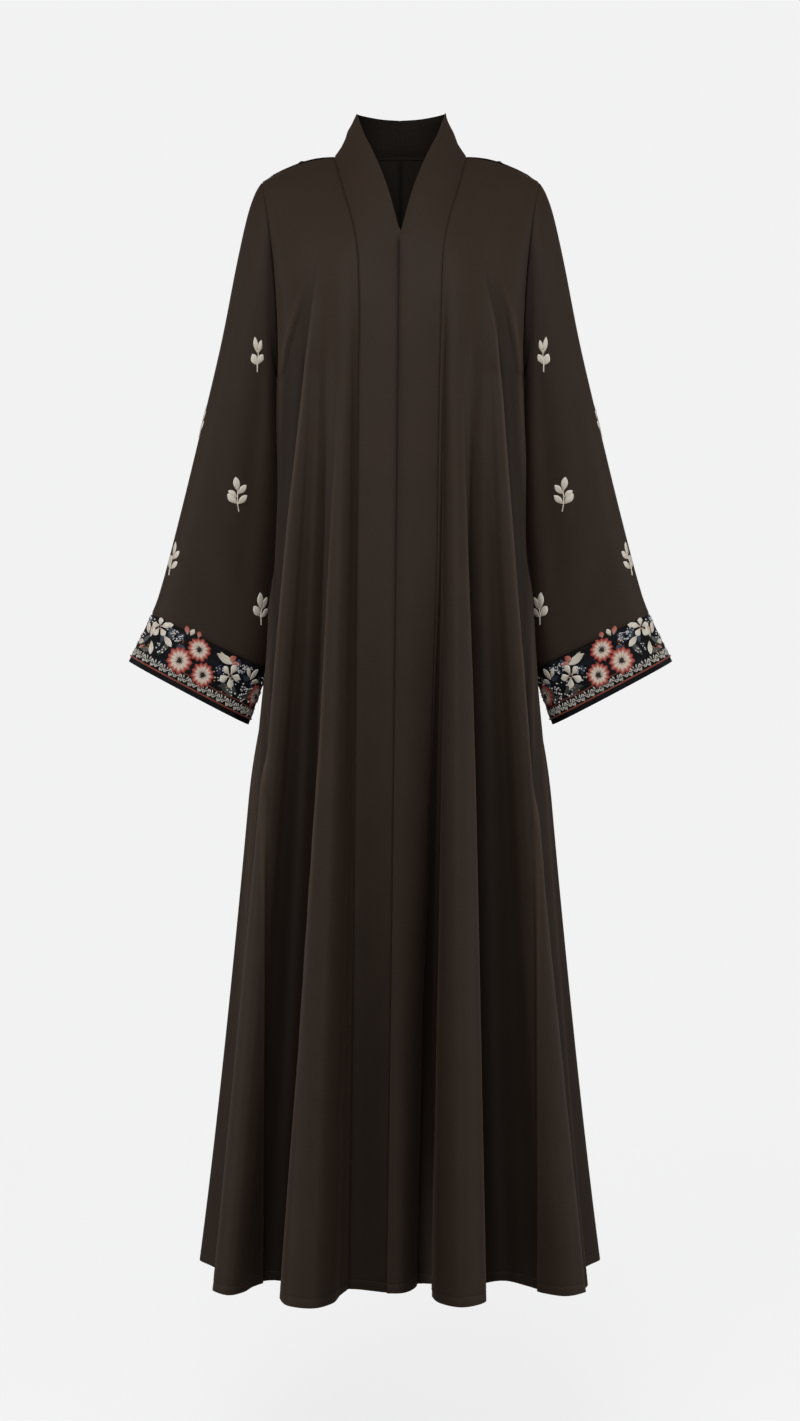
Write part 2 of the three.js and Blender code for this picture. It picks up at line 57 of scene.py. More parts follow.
# A full-length open robe (abaya) of brown crepe, filled out as when it is worn, with
# embroidered leaf sprigs on its bell sleeves and deep embroidered cuffs.
#
# The tables are in millimetres, in the frame of the solids: +Z up, -Y the front, +X the
# wearer's left. Every cloth piece is a grid of points on the middle of its cloth, worked out
# from the same sizes as its solid, with creases, seam dips and hems laid over it.

bl_info = {
    "name": "Embroidered robe",
    "version": (1, 0, 0),
    "blender": (4, 5, 0),
    "location": "3D View > Sidebar > Robe",
    "description": "Makes the cloth, the embroidery and the stage of a full-length open robe",
    "category": "Object",
}

MM = 0.001
BODY = "root"
HANDS = {"right": -1, "left": 1}

# ------------------------------------------------------------------ sizes of the solids

BUST_LEVEL = -290.0
HEM_LEVEL = -1452.0
V_POINT = (0.0, -92.0, -117.0)
BUST_OVAL = {"half_width": 163.0, "front": (112.0, 2.7), "back": (105.0, 2.4)}
PLAIN_HEM_OVAL = {"half_width": 256.0, "front": (128.0, 2.3), "back": (172.0, 2.3)}
NECK_POINT = (86.0, 2.0, 0.0)
SHOULDER_TIP = (180.0, 0.0, -34.0)
SHOULDER_CURVE = 1.9
UNDER_BAND_DEPTH = 2.2
TOP_EDGE = (-1.0, -16.0)  # the top band's free edge, in x, at the V and at the hem
UNDER_EDGE = (3.0, -1.0)
DENT = {"depth": 28.0, "turn": 112.0, "spread": 46.0, "z": -510.0, "z_spread": 330.0}
BAND_SEAM_TURN = 25.5
SIDE_SEAM_TURN = 90.0
DEGREES_PER_MM = 0.52
FOLD_START = -140.0
COLLAR_HOLLOW = 4.0
FLARE_FADE = 2.6
CORNER_FADE = 3
COLLAR_PART = 5 / 19  # the share of a back piece's top edge that is neck
V_SHARE = 5 / 9  # how far down the yoke the V point lies

# The hem seen from above: (turn from the centre front, x, y) of each flare and trough.
HEM_CENTRE_FRONT = (0, 0, -117)
HEM_CENTRE_BACK = (180, 0, 184)
HEM_LEFT_HALF = [
    (25.5, 33, -80), (27, 43, -60), (28.4, 43, -126), (30.2, 53, -170), (33, 75, -190),
    (36, 97, -171), (38.6, 107, -128), (41.2, 112, -72), (45, 131, -50), (49, 156, -75),
    (52, 180, -114), (55, 208, -129), (59, 236, -92), (64, 243, -52), (75, 234, -14),
    (90, 237, 18), (101, 251, 54), (109, 267, 92), (117, 257, 130), (124, 224, 136),
    (131, 203, 161), (137, 188, 197), (143, 156, 193), (149, 139, 151), (155, 119, 149),
    (161, 105, 199), (167, 72, 211), (173, 42, 174),
]
HEM_RIGHT_HALF = [
    (25.5, 64, -92), (27.6, 76, -120), (29.8, 86, -170), (32.5, 108, -196),
    (35.3, 134, -184), (37.8, 147, -137), (40.4, 150, -82), (44, 161, -52),
    (47.6, 183, -76), (50.4, 196, -108), (53.6, 215, -124), (58, 237, -86),
    (63, 242, -48), (75, 232, -12), (90, 238, 20), (101, 252, 52), (109, 268, 88),
    (116, 260, 125), (123, 227, 131), (130, 206, 150), (136.5, 197, 188),
    (143, 165, 198), (149, 141, 160), (155, 115, 147), (161, 99, 188), (167, 65, 206),
    (173.5, 35, 179),
]
BAND_SEAM = [(86, 2, 0), (74, -46, -50), (62, -79, -94), (54.5, -98, -138), (52, -107, -215)]
NECK_EDGE = [(56.5, -2, 55.5), (46.7, -27, 23.6), (35.5, -47, -2), (17, -73, -52)]
CENTRE_FRONT = [(0, -104, -172), (0, -110, -232)]
BACK_NECK = [(0, 72, 12), (33, 67, 10.5), (61, 51, 7), (80, 27, 2.5)]
COLLAR_TOP = [(0, 58, 60), (24, 55, 61), (44, 42, 61.5), (55, 21, 59.5)]

# A row for each cross-section of the sleeve, from the armhole to the end of the cuff.
SLEEVE_COLUMNS = ("out_x", "out_y", "out_z", "in_x", "in_y", "in_z", "depth", "bow")
SLEEVE_ROWS = [
    (180, 0, -34, 163, 0, -290, 50, 7), (189, 0, -50, 166, 4, -293, 53, 6.5),
    (199, 1, -80, 165, 12, -309, 56, 5), (213, 4, -142, 162, 26, -346, 59, 3),
    (233, 9, -242, 164, 38, -412, 62, 0), (260, 16, -354, 166, 46, -488, 62, 0),
    (287, 23, -462, 168, 51, -560, 62, 0), (311, 28, -552, 170, 54, -622, 62, 0),
    (326, 31, -594, 176, 54, -666, 62, 0), (356, 35, -655, 201, 54, -738, 62, 0),
]
CUFF_TOP = 8
CUFF_END = 9
CUFF_HALF_ROUND = 238.0  # from the outer line of the cuff round the front to its seam
SLEEVE_ROUNDNESS = 2.2

# Folds of the body: the x and z down each crisp edge, then how far the cloth stands forward of
# its plain form at the -x side of the edge, how soon that fades away from it, the same for the
# +x side, and the level and the height over which the fold grows, all in mm.
FRONT_FOLDS = [
    ([(-107, -171), (-121, -278), (-140, -451), (-164, -706), (-206, -1150), (-235, -1452)],
     -9, 18, 6, 30, -158, 170),
    ([(-77, -290), (-90, -529), (-101, -769), (-125, -1150), (-149, -1452)],
     -14, 36, 5, 40, -280, 560),
    ([(-57, -330), (-60, -890), (-68, -1452)], 1.0, 14, -3, 30, -420, 500),
    ([(53, -520), (53, -706), (48, -1073), (41, -1452)], -22, 20, 4, 22, -540, 560),
    ([(80, -341), (90, -686), (105, -1452)], 4, 24, -16, 36, -310, 520),
    ([(108, -174), (122, -237), (130, -320), (150, -582), (186, -1000), (232, -1452)],
     5, 22, -9, 18, -158, 170),
    ([(-146, -330), (-178, -700), (-222, -1140), (-256, -1452)], -3, 12, 3, 14, -420, 600),
    ([(152, -330), (180, -700), (218, -1140), (256, -1452)], 3, 14, -3, 12, -420, 600),
    ([(-120, -178), (-126, -194), (-146, -256), (-156, -313), (-170, -520)],
     2.0, 10, -5, 15, -176, 60),
    ([(125, -174), (140, -215), (150, -268), (158, -372), (170, -520)],
     -5, 15, 2.0, 10, -172, 60),
]
BACK_FOLDS = [
    ([(-118, -200), (-136, -451), (-168, -820), (-228, -1452)], -5, 16, 6, 32, -220, 700),
    ([(-66, -320), (-82, -620), (-104, -1000), (-132, -1452)], -9, 34, 5, 30, -330, 640),
    ([(-12, -480), (-20, -900), (-26, -1452)], 3, 20, -7, 24, -480, 560),
    ([(42, -420), (52, -800), (66, -1452)], -7, 24, 4, 22, -440, 560),
    ([(92, -300), (112, -700), (146, -1452)], 5, 28, -9, 30, -300, 640),
    ([(124, -210), (150, -520), (184, -900), (236, -1452)], 6, 30, -5, 16, -220, 700),
]
FOLD_TURN = 5.0  # how wide the turn from one side of a fold's edge to the other is
# The painted highlight along fold crests: how far off the edge it lies, how wide it is, and the
# step that gives it in full, all in mm.
CREST_OFFSET = 2.0
CREST_SPREAD = 2.2
FULL_CREST_STEP = 14.0  # the step across a fold's edge that makes its crest catch all the light
# How far out from the centre the folds reach at depths below the neck, and how soon they fade.
FOLD_LIMITS = {"depths": (34, 290, 420, 1452), "reach": (180, 163, 205, 330), "fade": 18.0}
FACING = {"start": 5.0, "fade": 30.0}  # where the front's folds and the back's begin, in y
SHOULDER_ROLL = 3.2
SHOULDER_KNOT = 128.0  # how far from the centre the small knot of the shoulder roll lies
# Small creases of the collar: x, z, heading, length, spread and height.
COLLAR_CREASES = [
    (-70, 30, 40, 22, 2.4, 1.6), (-64, 18, 62, 24, 3.0, -1.4), (-52, -8, 20, 30, 4.0, 1.0),
    (72, 27, -34, 22, 2.4, 1.6), (62, 22, -64, 26, 2.8, -1.5), (50, -14, -24, 30, 4.0, 1.0),
]
TOP_BAND_LIFT = 2.4  # how far the free edge of the top band stands off the under one
TOP_BAND_LIFT_WIDTH = 12.0
SEAM_WIDTH = 2.6  # how far from a seam the cloth begins to dip to it
SHOULDER_SEAM_WIDTH = 4.0
HEM_STITCH_DIP = {"depth": 0.5, "spread": 0.9}
# How far the sleeve leans to the body below the underarm, from and to which places down it,
# how soon that fades, and the angle where it begins and the angles over which it grows.
UNDERARM_FILL = {"lean": 6.0, "from": 2.5, "to": 4.5, "fade": 1.2, "angle": 100, "grows": 50}
# Folds of a sleeve: from and to places down it, angles there, spread and height.
SLEEVE_FOLDS = [
    (0.8, 8.8, 146, 150, 18, 5.0),
    (0.2, 8.6, 124, 136, 12, 2.2),
    (0.6, 8.2, 104, 118, 10, -1.8),
    (0.2, 6.0, 66, 82, 16, 1.8),
    (1.6, 8.4, 40, 58, 14, 1.6),
    (2.4, 8.6, 84, 94, 10, 1.4),
    (0.4, 8.4, -122, -138, 12, 4.0),
    (1.2, 8.0, -92, -104, 11, -3.0),
    (0.2, 7.0, -54, -72, 14, 2.6),
    (2.2, 8.6, -30, -44, 12, 2.0),
]

# The painted shade in the cloth's colour: the depth of a fold that has all of it and the curve up
# to there, the under band between the flares toward the hem, its edge under the top band, the
# centre back seam, a sleeve a little all over and more on its inner side, and where a sleeve meets
# the body. Levels and widths are in mm.
FOLD_SHADE = {"depth": 12.0, "curve": 0.7}
BAND_SHADE = {"most": 0.66, "start": -560, "growth": 600}
BAND_EDGE_SHADE = {"gap": 0.8, "spread": 3.2, "growth": 10}
CENTRE_BACK_SHADE = 1.6
SLEEVE_SHADE = {"least": 0.1, "more": 0.42, "angle": 128, "grows": 34, "end": 4.5, "fade": 2}
ARMHOLE_SHADE = {"x": 166, "spread": 7.5, "top": -70, "growth": 70, "bottom": -390, "fade": 80}

# The flat cut of each piece: width, length and area, in metres.
FLAT_CUTS = {
    "front_right": (0.57, 1.49, 0.46), "front_left": (0.63, 1.49, 0.51),
    "back_right": (0.50, 1.49, 0.45), "back_left": (0.51, 1.49, 0.46),
    "band_right": (0.069, 1.64, 0.096), "band_left": (0.067, 1.64, 0.091),
    "sleeve_right": (0.60, 0.58, 0.186), "sleeve_left": (0.60, 0.58, 0.186),
    "cuff_right": (0.484, 0.076, 0.034), "cuff_left": (0.484, 0.076, 0.034),
}
SEWN_ON = {"sleeve": ("sprigs",), "cuff": ("flowers", "border", "beads")}

# Leaf sprigs: each leaf's x and y of its stalk end, heading, length and width in mm, and the
# stem's path.
SPRIGS = {
    "ears": (
        [(1.3, 0.5, 11, 19.5, 6.8), (-1.3, 0, -10, 20.5, 6.8), (0.6, -14.5, 25, 16, 8.4),
         (-0.6, -15, -23, 16, 8.4)],
        [(-0.4, 4), (0.3, -4), (-0.3, -13), (0, -23)]),
    "five": (
        [(0, 5, -12, 18, 10.6), (0.8, 1, 42, 16.5, 9.4), (-0.8, -3, -54, 14, 8.4),
         (-0.8, -11.5, -44, 17.5, 10), (0.8, -12, 46, 17, 9.6)],
        [(0.2, 7), (-0.4, -4), (0.2, -12), (2.2, -22)]),
    "four": (
        [(-0.4, 0, -7, 21, 13), (1.2, -1, 36, 19, 11), (-1.0, -10, -40, 18, 12.5),
         (1.2, -11, 54, 17, 11.5)],
        [(0.1, 1), (-0.5, -8), (0.1, -14), (0.6, -22)]),
}
# Where the sprigs lie: kind, place down the sleeve and round it, heading.
SPRIG_PLACES = [
    ("ears", 3.10, 0.521, 0), ("five", 4.90, 0.036, -4), ("five", 5.15, 0.504, 0),
    ("five", 6.60, 0.129, 10), ("four", 6.55, 0.779, -4),
    ("ears", 3.30, -0.50, 4), ("five", 5.20, -0.47, 0), ("four", 6.60, -0.16, -8),
    ("five", 6.70, -0.76, 5),
]
# Flowers of a cuff: mm round it from its outer line, mm up, radius, turn.
DAISIES = [
    (91.9, 31.9, 17.0, 0), (109.7, 56.2, 16.2, 9), (126.5, 29.5, 15.4, 17), (214.0, 36.0, 14.5, 4),
    (-58, 33, 16.6, 6), (-82, 52, 15.4, 0), (-101, 29, 15.0, 14), (-196, 40, 15.6, 9),
]
# Five-petal blossoms: the same, with cream petals.
BLOSSOMS = [
    (160.7, 44.4, 15.5, 8), (48.5, 58.5, 14.5, -20), (-22, 44, 15.5, 15), (-148, 38, 15.0, -12),
]
# Single leaves of a cuff, by finish: mm round, mm up of the stalk end, heading, length, width.
CUFF_LEAVES = [
    ("cream", [
        (34, 44, -52, 20, 10), (40, 41, -14, 19, 9), (45, 37, 152, 17, 8), (60, 50, 118, 17, 9),
        (32, 31, -96, 16, 8), (52, 63, 62, 16, 8), (133, 63, 100, 25, 12), (137, 68, 128, 17, 7.5),
        (192, 52, 24, 20, 9.5), (190, 54, -38, 15, 7.5), (196, 50, 74, 15, 8),
        (-4, 42, -64, 19, 9), (-8, 36, -150, 17, 8), (-124, 55, 70, 22, 10), (-126, 58, 22, 16, 8),
        (-170, 55, -48, 19, 9), (-168, 50, 30, 17, 8), (-222, 58, 12, 17, 8),
        (-224, 52, -72, 16, 8),
    ]),
    ("green", [
        (22, 26, -34, 22, 9), (24, 24, 40, 24, 9), (28, 23, 88, 22, 8), (63, 25, 20, 22, 9),
        (150, 26, 72, 24, 9), (152, 29, 106, 24, 9), (182, 26, -62, 22, 9), (186, 28, 88, 20, 8),
        (204, 24, -20, 20, 9), (206, 62, 140, 18, 8), (-34, 26, 60, 22, 9), (-36, 28, -54, 22, 9),
        (-76, 26, 92, 20, 8), (-122, 26, -60, 24, 9), (-126, 30, 84, 22, 9), (-176, 26, 64, 24, 9),
        (-178, 28, -66, 24, 9), (-218, 26, -30, 20, 9),
    ]),
    ("navy", [
        (70, 49, -20, 17, 11), (76, 52, 30, 16, 10), (80, 47, 84, 13, 9), (168, 56, -10, 15, 10),
        (174, 57, 46, 15, 10), (178, 52, 100, 13, 9), (14, 56, -30, 15, 9), (18, 54, 30, 15, 9),
        (60, 40, -10, 14, 8), (146, 38, -20, 13, 8), (206, 42, -58, 14, 8), (-46, 56, -16, 15, 10),
        (-52, 55, -70, 14, 9), (-112, 50, 18, 14, 9), (-160, 42, 94, 14, 8),
        (-208, 56, -14, 15, 9), (-214, 55, 44, 14, 9),
    ]),
    ("coral", [(88, 67, -22, 14, 7.5)]),
    ("cream", [(92, 68, 12, 13, 6.5)]),
    ("coral", [
        (103, 71, 0, 11, 7), (152, 60, 30, 14, 9), (156, 59, 64, 14, 8), (30, 50, 70, 12, 5),
        (26, 22, 66, 11, 5), (-64, 67, 0, 12, 7), (-118, 64, -28, 13, 8), (-186, 64, 14, 13, 8),
        (-188, 66, -26, 12, 6), (-14, 62, 12, 13, 7),
    ]),
]
# Groups of beads: mm round, mm up, spread, how many, finish.
BEAD_GROUPS = [
    (76, 58, 9, 26, "pearl"), (76, 56, 9, 10, "navy_bead"), (172, 60, 8.5, 24, "pearl"),
    (172, 58, 8, 9, "navy_bead"), (18, 60, 6.5, 12, "pearl"), (62, 34, 8, 10, "pearl"),
    (146, 47, 6, 9, "navy_bead"), (146, 40, 10, 12, "pearl"), (196, 32, 13, 16, "pearl"),
    (178, 34, 16, 22, "pearl"), (120, 44, 8, 6, "navy_bead"), (36, 56, 12, 9, "pearl"),
    (204, 48, 9, 12, "pearl"), (20, 36, 10, 10, "pearl"), (66, 62, 6, 6, "pearl"),
    (184, 68, 6, 6, "pearl"), (40, 26, 7, 5, "gold_bead"), (150, 22.5, 18, 6, "gold_bead"),
    (222, 60, 8, 8, "pearl"), (84, 53, 5, 4, "gold_bead"), (-40, 46, 12, 16, "pearl"),
    (-50, 60, 8, 12, "pearl"), (-50, 58, 8, 7, "navy_bead"), (-118, 42, 12, 14, "pearl"),
    (-112, 58, 8, 12, "pearl"), (-164, 48, 12, 16, "pearl"), (-212, 60, 8, 14, "pearl"),
    (-212, 58, 8, 7, "navy_bead"), (-232, 36, 9, 12, "pearl"), (-76, 34, 6, 6, "pearl"),
    (-176, 33, 12, 12, "pearl"), (-132, 24, 16, 6, "gold_bead"), (-20, 28, 14, 10, "pearl"),
    (2, 30, 10, 8, "pearl"), (0, 60, 8, 9, "pearl"),
]

# The beads lie between these heights, in mm above the cuff's edge.
BEAD_LEVELS = (21, 70)
# The cuff's border, in mm above its edge: the long cord, the short cords with their ends round
# the cuff, and the vine between them with its waves.
BORDER_REACH = CUFF_HALF_ROUND - 1
CORD_LEVEL = 7.6
SHORT_CORD_LEVEL = 21.2
SHORT_CORDS = ((104, BORDER_REACH), (-150, -60), (-BORDER_REACH, -186))
VINE_LEVEL = 14.4
VINE_SWING = 2.4
VINE_WAVES = 34
VINE_LEAVES = ((-1.6, -24, 5.0), (1.6, 16, 5.4), (4.4, 34, 4.6))  # shift, heading and length
STITCH_LENGTH = 3.6  # from one hem stitch to the next

# The stage, in metres: each light's place, width and height, and the setting of its power.
FLOOR_RADIUS = 3.4
BACKDROP_RADIUS = 14
LIGHTS_AIM = (0, 0, -0.5)
LIGHTS = {
    "key": ((-0.45, -3.05, 1.15), (1.5, 1.5), "key_power"),
    "fill": ((1.0, -3.2, 0.1), (1.6, 2.2), "fill_power"),
    "side_right": ((-2.6, 0.1, -0.5), (0.4, 2.4), "rim_power"),
    "side_left": ((2.6, 0.1, -0.5), (0.4, 2.4), "rim_power"),
    "back": ((0.0, 3.3, 0.9), (1.2, 1.8), "back_power"),
}
CAMERA_PLACE = (-0.00065, -3.4, -0.7196)
CAMERA_LENS = 66.259


# ------------------------------------------------------------------ curves


def limited(share):
    """A share kept between 0 and 1."""
    return np.clip(share, 0, 1)


def walked_along(line):
    """How far along a line each of its points lies."""
    return np.concatenate([[0], np.cumsum(np.linalg.norm(np.diff(line, axis=0), axis=1))])


def read_along(line, walked, at):
    """The points of a line at places along it."""
    return np.stack([np.interp(at, walked, line[:, axis]) for axis in range(3)], axis=-1)


class Track:
    """Smooth cubics through the rows of a table, one for each named column."""

    def __init__(self, knots, columns, ordered=()):
        self.knots = np.asarray(knots, float)
        self.columns = {name: np.asarray(values, float) for name, values in columns.items()}
        self.slopes = {
            name: self.find_slopes(values, name in ordered)
            for name, values in self.columns.items()
        }

    def find_slopes(self, values, ordered):
        """The slope at each knot. Ordered values never turn back between their knots."""
        spans = np.diff(self.knots)
        grades = np.diff(values) / spans
        left, right = grades[:-1], grades[1:]
        near, far = spans[:-1], spans[1:]
        if ordered:
            inner = 2 * left * right / (left + right)
        else:
            inner = (left * far + right * near) / (near + far)
        return np.concatenate([grades[:1], inner, grades[-1:]])

    def read(self, name, at):
        """The value of one column at any places between the first knot and the last."""
        at = np.asarray(at, float)
        k = np.clip(np.searchsorted(self.knots, at, side="right") - 1, 0, len(self.knots) - 2)
        span = self.knots[k + 1] - self.knots[k]
        t = (at - self.knots[k]) / span
        values, slopes = self.columns[name], self.slopes[name]
        start, end = slopes[k] * span, slopes[k + 1] * span
        rise = values[k + 1] - values[k]
        bend = 3 * rise - 2 * start - end
        twist = start + end - 2 * rise
        return values[k] + t * (start + t * (bend + t * twist))


def hem_track():
    """The whole hem as one closed curve, with a fine table from turn to knot."""
    right = [(-turn, -x, y) for turn, x, y in reversed(HEM_RIGHT_HALF)]
    back = HEM_CENTRE_BACK
    ring = [(-180, *back[1:]), *right, HEM_CENTRE_FRONT, *HEM_LEFT_HALF, back]
    before, after = ring[-2], ring[1]
    rows = [(before[0] - 360, *before[1:]), *ring, (after[0] + 360, *after[1:])]
    turn, x, y = np.array(rows, float).T
    knots = np.concatenate([[0], np.cumsum(np.sqrt(np.hypot(np.diff(x), np.diff(y))))])
    track = Track(knots, {"turn": turn, "x": x, "y": y}, ordered=("turn",))
    fine = np.linspace(knots[0], knots[-1], 6000)
    return track, track.read("turn", fine), fine


HEM, HEM_TURNS, HEM_KNOTS = hem_track()
SLEEVE = Track(range(len(SLEEVE_ROWS)), dict(zip(SLEEVE_COLUMNS, np.array(SLEEVE_ROWS).T)))


def oval(shape, turn):
    """The point of an oval in the direction `turn` from the centre front."""
    across, ahead = np.sin(np.radians(turn)), np.cos(np.radians(turn))
    depth = np.where(ahead > 0, shape["front"][0], shape["back"][0])
    exponent = np.where(ahead > 0, shape["front"][1], shape["back"][1])
    parts = np.abs(across / shape["half_width"]) ** exponent + np.abs(ahead / depth) ** exponent
    reach = parts ** (-1 / exponent)
    return reach * across, -reach * ahead


def bell(offset, spread):
    """1 in the middle and 0 from the spread on."""
    return np.cos(np.pi / 2 * np.minimum(np.abs(offset / spread), 1)) ** 2


def body(turn, z):
    """The robe below the underarm: the bust line widens to the hem while the flares grow."""
    turn, z = np.broadcast_arrays(np.asarray(turn, float), np.asarray(z, float))
    share = np.maximum(0, (BUST_LEVEL - z) / (BUST_LEVEL - HEM_LEVEL))
    wide = 0.93 * share**1.08 + 0.07 * share**6
    deep = ((FOLD_START - z) / (FOLD_START - HEM_LEVEL)) ** 1.12
    bust, plain = oval(BUST_OVAL, turn), oval(PLAIN_HEM_OVAL, turn)
    knot = np.interp(turn, HEM_TURNS, HEM_KNOTS)
    dent = DENT["depth"] * bell(np.abs(turn) - DENT["turn"], DENT["spread"])
    dent = dent * bell(z - DENT["z"], DENT["z_spread"])
    x = bust[0] + (plain[0] - bust[0]) * wide + (HEM.read("x", knot) - plain[0]) * deep
    y = bust[1] + (plain[1] - bust[1]) * wide + (HEM.read("y", knot) - plain[1]) * deep
    return np.stack([x - np.sign(turn) * dent, y, z], axis=-1)


def plain_bust(turn):
    """The bust line without its flares."""
    x, y = oval(BUST_OVAL, turn)
    return np.stack([x, y, np.full_like(x, BUST_LEVEL)], axis=-1)


def even_turns(start, end, shares):
    """Turns between two seams, spaced as the shares are on the lower skirt."""
    turns = np.linspace(start, end, 401)
    line = body(turns, BUST_LEVEL + (HEM_LEVEL - BUST_LEVEL) * 0.6)
    walked = walked_along(line)
    return np.interp(np.asarray(shares) * walked[-1], walked, turns)


def smooth_line(points, shares):
    """A centripetal curve through points, read at shares of its length."""
    points = np.asarray(points, float)
    ends = 2 * points[0] - points[1], 2 * points[-1] - points[-2]
    guide = np.concatenate([[ends[0]], points, [ends[1]]])
    t = np.linspace(0, 1, 33)[:, None]
    parts = []
    for before, start, end, after in zip(guide, guide[1:], guide[2:], guide[3:]):
        gaps = [np.linalg.norm(q - p) ** 0.5 for p, q in
                ((before, start), (start, end), (end, after))]
        leave = (start - before) / gaps[0] - (end - before) / (gaps[0] + gaps[1])
        leave = (leave + (end - start) / gaps[1]) * gaps[1]
        reach = (end - start) / gaps[1] - (after - start) / (gaps[1] + gaps[2])
        reach = (reach + (after - end) / gaps[2]) * gaps[1]
        rise = end - start
        bend, twist = 3 * rise - 2 * leave - reach, leave + reach - 2 * rise
        parts.append(start + t[:-1] * (leave + t[:-1] * (bend + t[:-1] * twist)))
    line = np.concatenate([*parts, points[-1:]])
    walked = walked_along(line)
    return read_along(line, walked, np.asarray(shares) * walked[-1])


def mirrored(points, side):
    """Points of the wearer's left, moved to the side that is asked for."""
    return np.asarray(points, float) * (side, 1, 1)


# ------------------------------------------------------------------ seams of the yoke


def band_seam(side, shares):
    """The seam of the front and its band, from the neck point to the bust line."""
    lowest = body(side * BAND_SEAM_TURN, BUST_LEVEL)
    return smooth_line([*mirrored(BAND_SEAM, side), lowest], shares)


def shoulder(side, shares):
    """The shoulder seam, from the neck point to its tip."""
    shares = np.asarray(shares, float)
    start, end = np.array(NECK_POINT), np.array(SHOULDER_TIP)
    line = start + (end - start) * shares[:, None]
    line[:, 2] = start[2] + (end[2] - start[2]) * shares**SHOULDER_CURVE
    return mirrored(line, side)


def back_neck(side, shares):
    """The seam of the back and the collar, from the centre back to the neck point."""
    return smooth_line(mirrored([*BACK_NECK, NECK_POINT], side), shares)


def collar_top(side, shares):
    """The free edge of the collar, from the centre back to where the front's begins."""
    return smooth_line(mirrored([*COLLAR_TOP, NECK_EDGE[0]], side), shares)


def sleeve_point(side, at, angle):
    """A cross-section of the sleeve: angle 0 is the outer line, 90 the front, 180 the inner."""
    at, angle = np.broadcast_arrays(np.asarray(at, float), np.asarray(angle, float))
    down, forward = np.cos(np.radians(angle)), np.sin(np.radians(angle))
    along = np.sign(down) * np.abs(down) ** (2 / SLEEVE_ROUNDNESS)
    across = np.sign(forward) * np.abs(forward) ** (2 / SLEEVE_ROUNDNESS)
    share = ((1 - along) / 2)[..., None]
    read = {name: SLEEVE.read(name, at) for name in SLEEVE_COLUMNS}
    inner = np.stack([side * read["in_x"], read["in_y"], read["in_z"]], axis=-1)
    lead = limited(1 - at)[..., None]
    inner = inner + (body(side * SIDE_SEAM_TURN, BUST_LEVEL) - inner) * lead
    outer = np.stack([side * read["out_x"], read["out_y"], read["out_z"]], axis=-1)
    middle = outer + (inner - outer) * share
    middle[..., 0] -= side * read["bow"] * (1 - along * along)
    middle[..., 1] -= read["depth"] * across
    return middle


def soft(offset, spread):
    """A round-topped hill that is 1 in the middle."""
    return np.exp(-((offset / spread) ** 2))


def fold_depth(x, z, folds):
    """How far a row of folds brings the cloth forward."""
    depth = np.zeros_like(x)
    for line, left, left_fade, right, right_fade, start, growth in folds:
        line = np.array(line, float)
        away = x - np.interp(-z, -line[:, 1], line[:, 0])
        blend = limited(away / FOLD_TURN + 0.5)
        blend = blend * blend * (3 - 2 * blend)
        near = left * np.exp(-np.maximum(-away, 0) / left_fade) * (1 - blend)
        far = right * np.exp(-np.maximum(away, 0) / right_fade) * blend
        depth += (near + far) * limited((start - z) / growth)
    return depth


def fold_crests(x, z, folds):
    """The mask of a painted highlight: 1 along the crisp edge of each high fold, where the threads
    catch the light.
    """
    crests = np.zeros_like(x)
    for line, left, _, right, _, start, growth in folds:
        line = np.array(line, float)
        step = np.sign(right - left)
        away = x - np.interp(-z, -line[:, 1], line[:, 0]) - step * CREST_OFFSET
        grown = limited((start - z) / growth)
        grown = grown * min(abs(right - left) / FULL_CREST_STEP, 1)
        crests = np.maximum(crests, soft(away, CREST_SPREAD) * grown)
    return crests


def crease_body(grid):
    """How far the folds push each point of the body out, and where their crests run, which get a
    painted highlight.
    """
    x, y, z = grid[..., 0], grid[..., 1], grid[..., 2]
    limit = np.interp(-z, FOLD_LIMITS["depths"], FOLD_LIMITS["reach"])
    edge = limited((limit - np.abs(x)) / FOLD_LIMITS["fade"])
    front = limited((-y - FACING["start"]) / FACING["fade"])
    back = limited((y - FACING["start"]) / FACING["fade"])
    push = fold_depth(x, z, FRONT_FOLDS) * front + fold_depth(x, z, BACK_FOLDS) * back
    crests = fold_crests(x, z, FRONT_FOLDS) * front + fold_crests(x, z, BACK_FOLDS) * back
    return edge * push, edge * crests


def crease_sleeve(side, at, angle):
    """The sleeve with its soft folds."""
    points = sleeve_point(side, at, angle)
    at, angle = np.broadcast_arrays(np.asarray(at, float), np.asarray(angle, float))
    out = np.zeros_like(at)
    for fold in SLEEVE_FOLDS:
        start, end, from_angle, to_angle, spread, height = fold
        share = limited((at - start) / (end - start))
        middle = from_angle + (to_angle - from_angle) * share
        grown = np.sin(np.pi * share) ** 0.7
        out = out + height * grown * soft(angle - middle, spread)
    free = limited(at / 0.8) * np.clip((CUFF_TOP - 0.05 - at) / 2.5 + 0.25, 0.25, 1)
    turn = np.radians(angle)
    lean = np.stack([side * 0.25 * np.cos(turn), -np.sin(turn), np.zeros_like(turn)], axis=-1)
    seam = 1 - np.clip(np.abs(angle) - 165, 0, 15) / 15
    points = points + lean * (out * free * seam)[..., None]
    fill = UNDERARM_FILL
    beyond = np.maximum(fill["from"] - at, 0) + np.maximum(at - fill["to"], 0)
    inner = limited((np.abs(angle) - fill["angle"]) / fill["grows"])
    points[..., 0] -= side * fill["lean"] * (inner * soft(beyond, fill["fade"]))
    return points


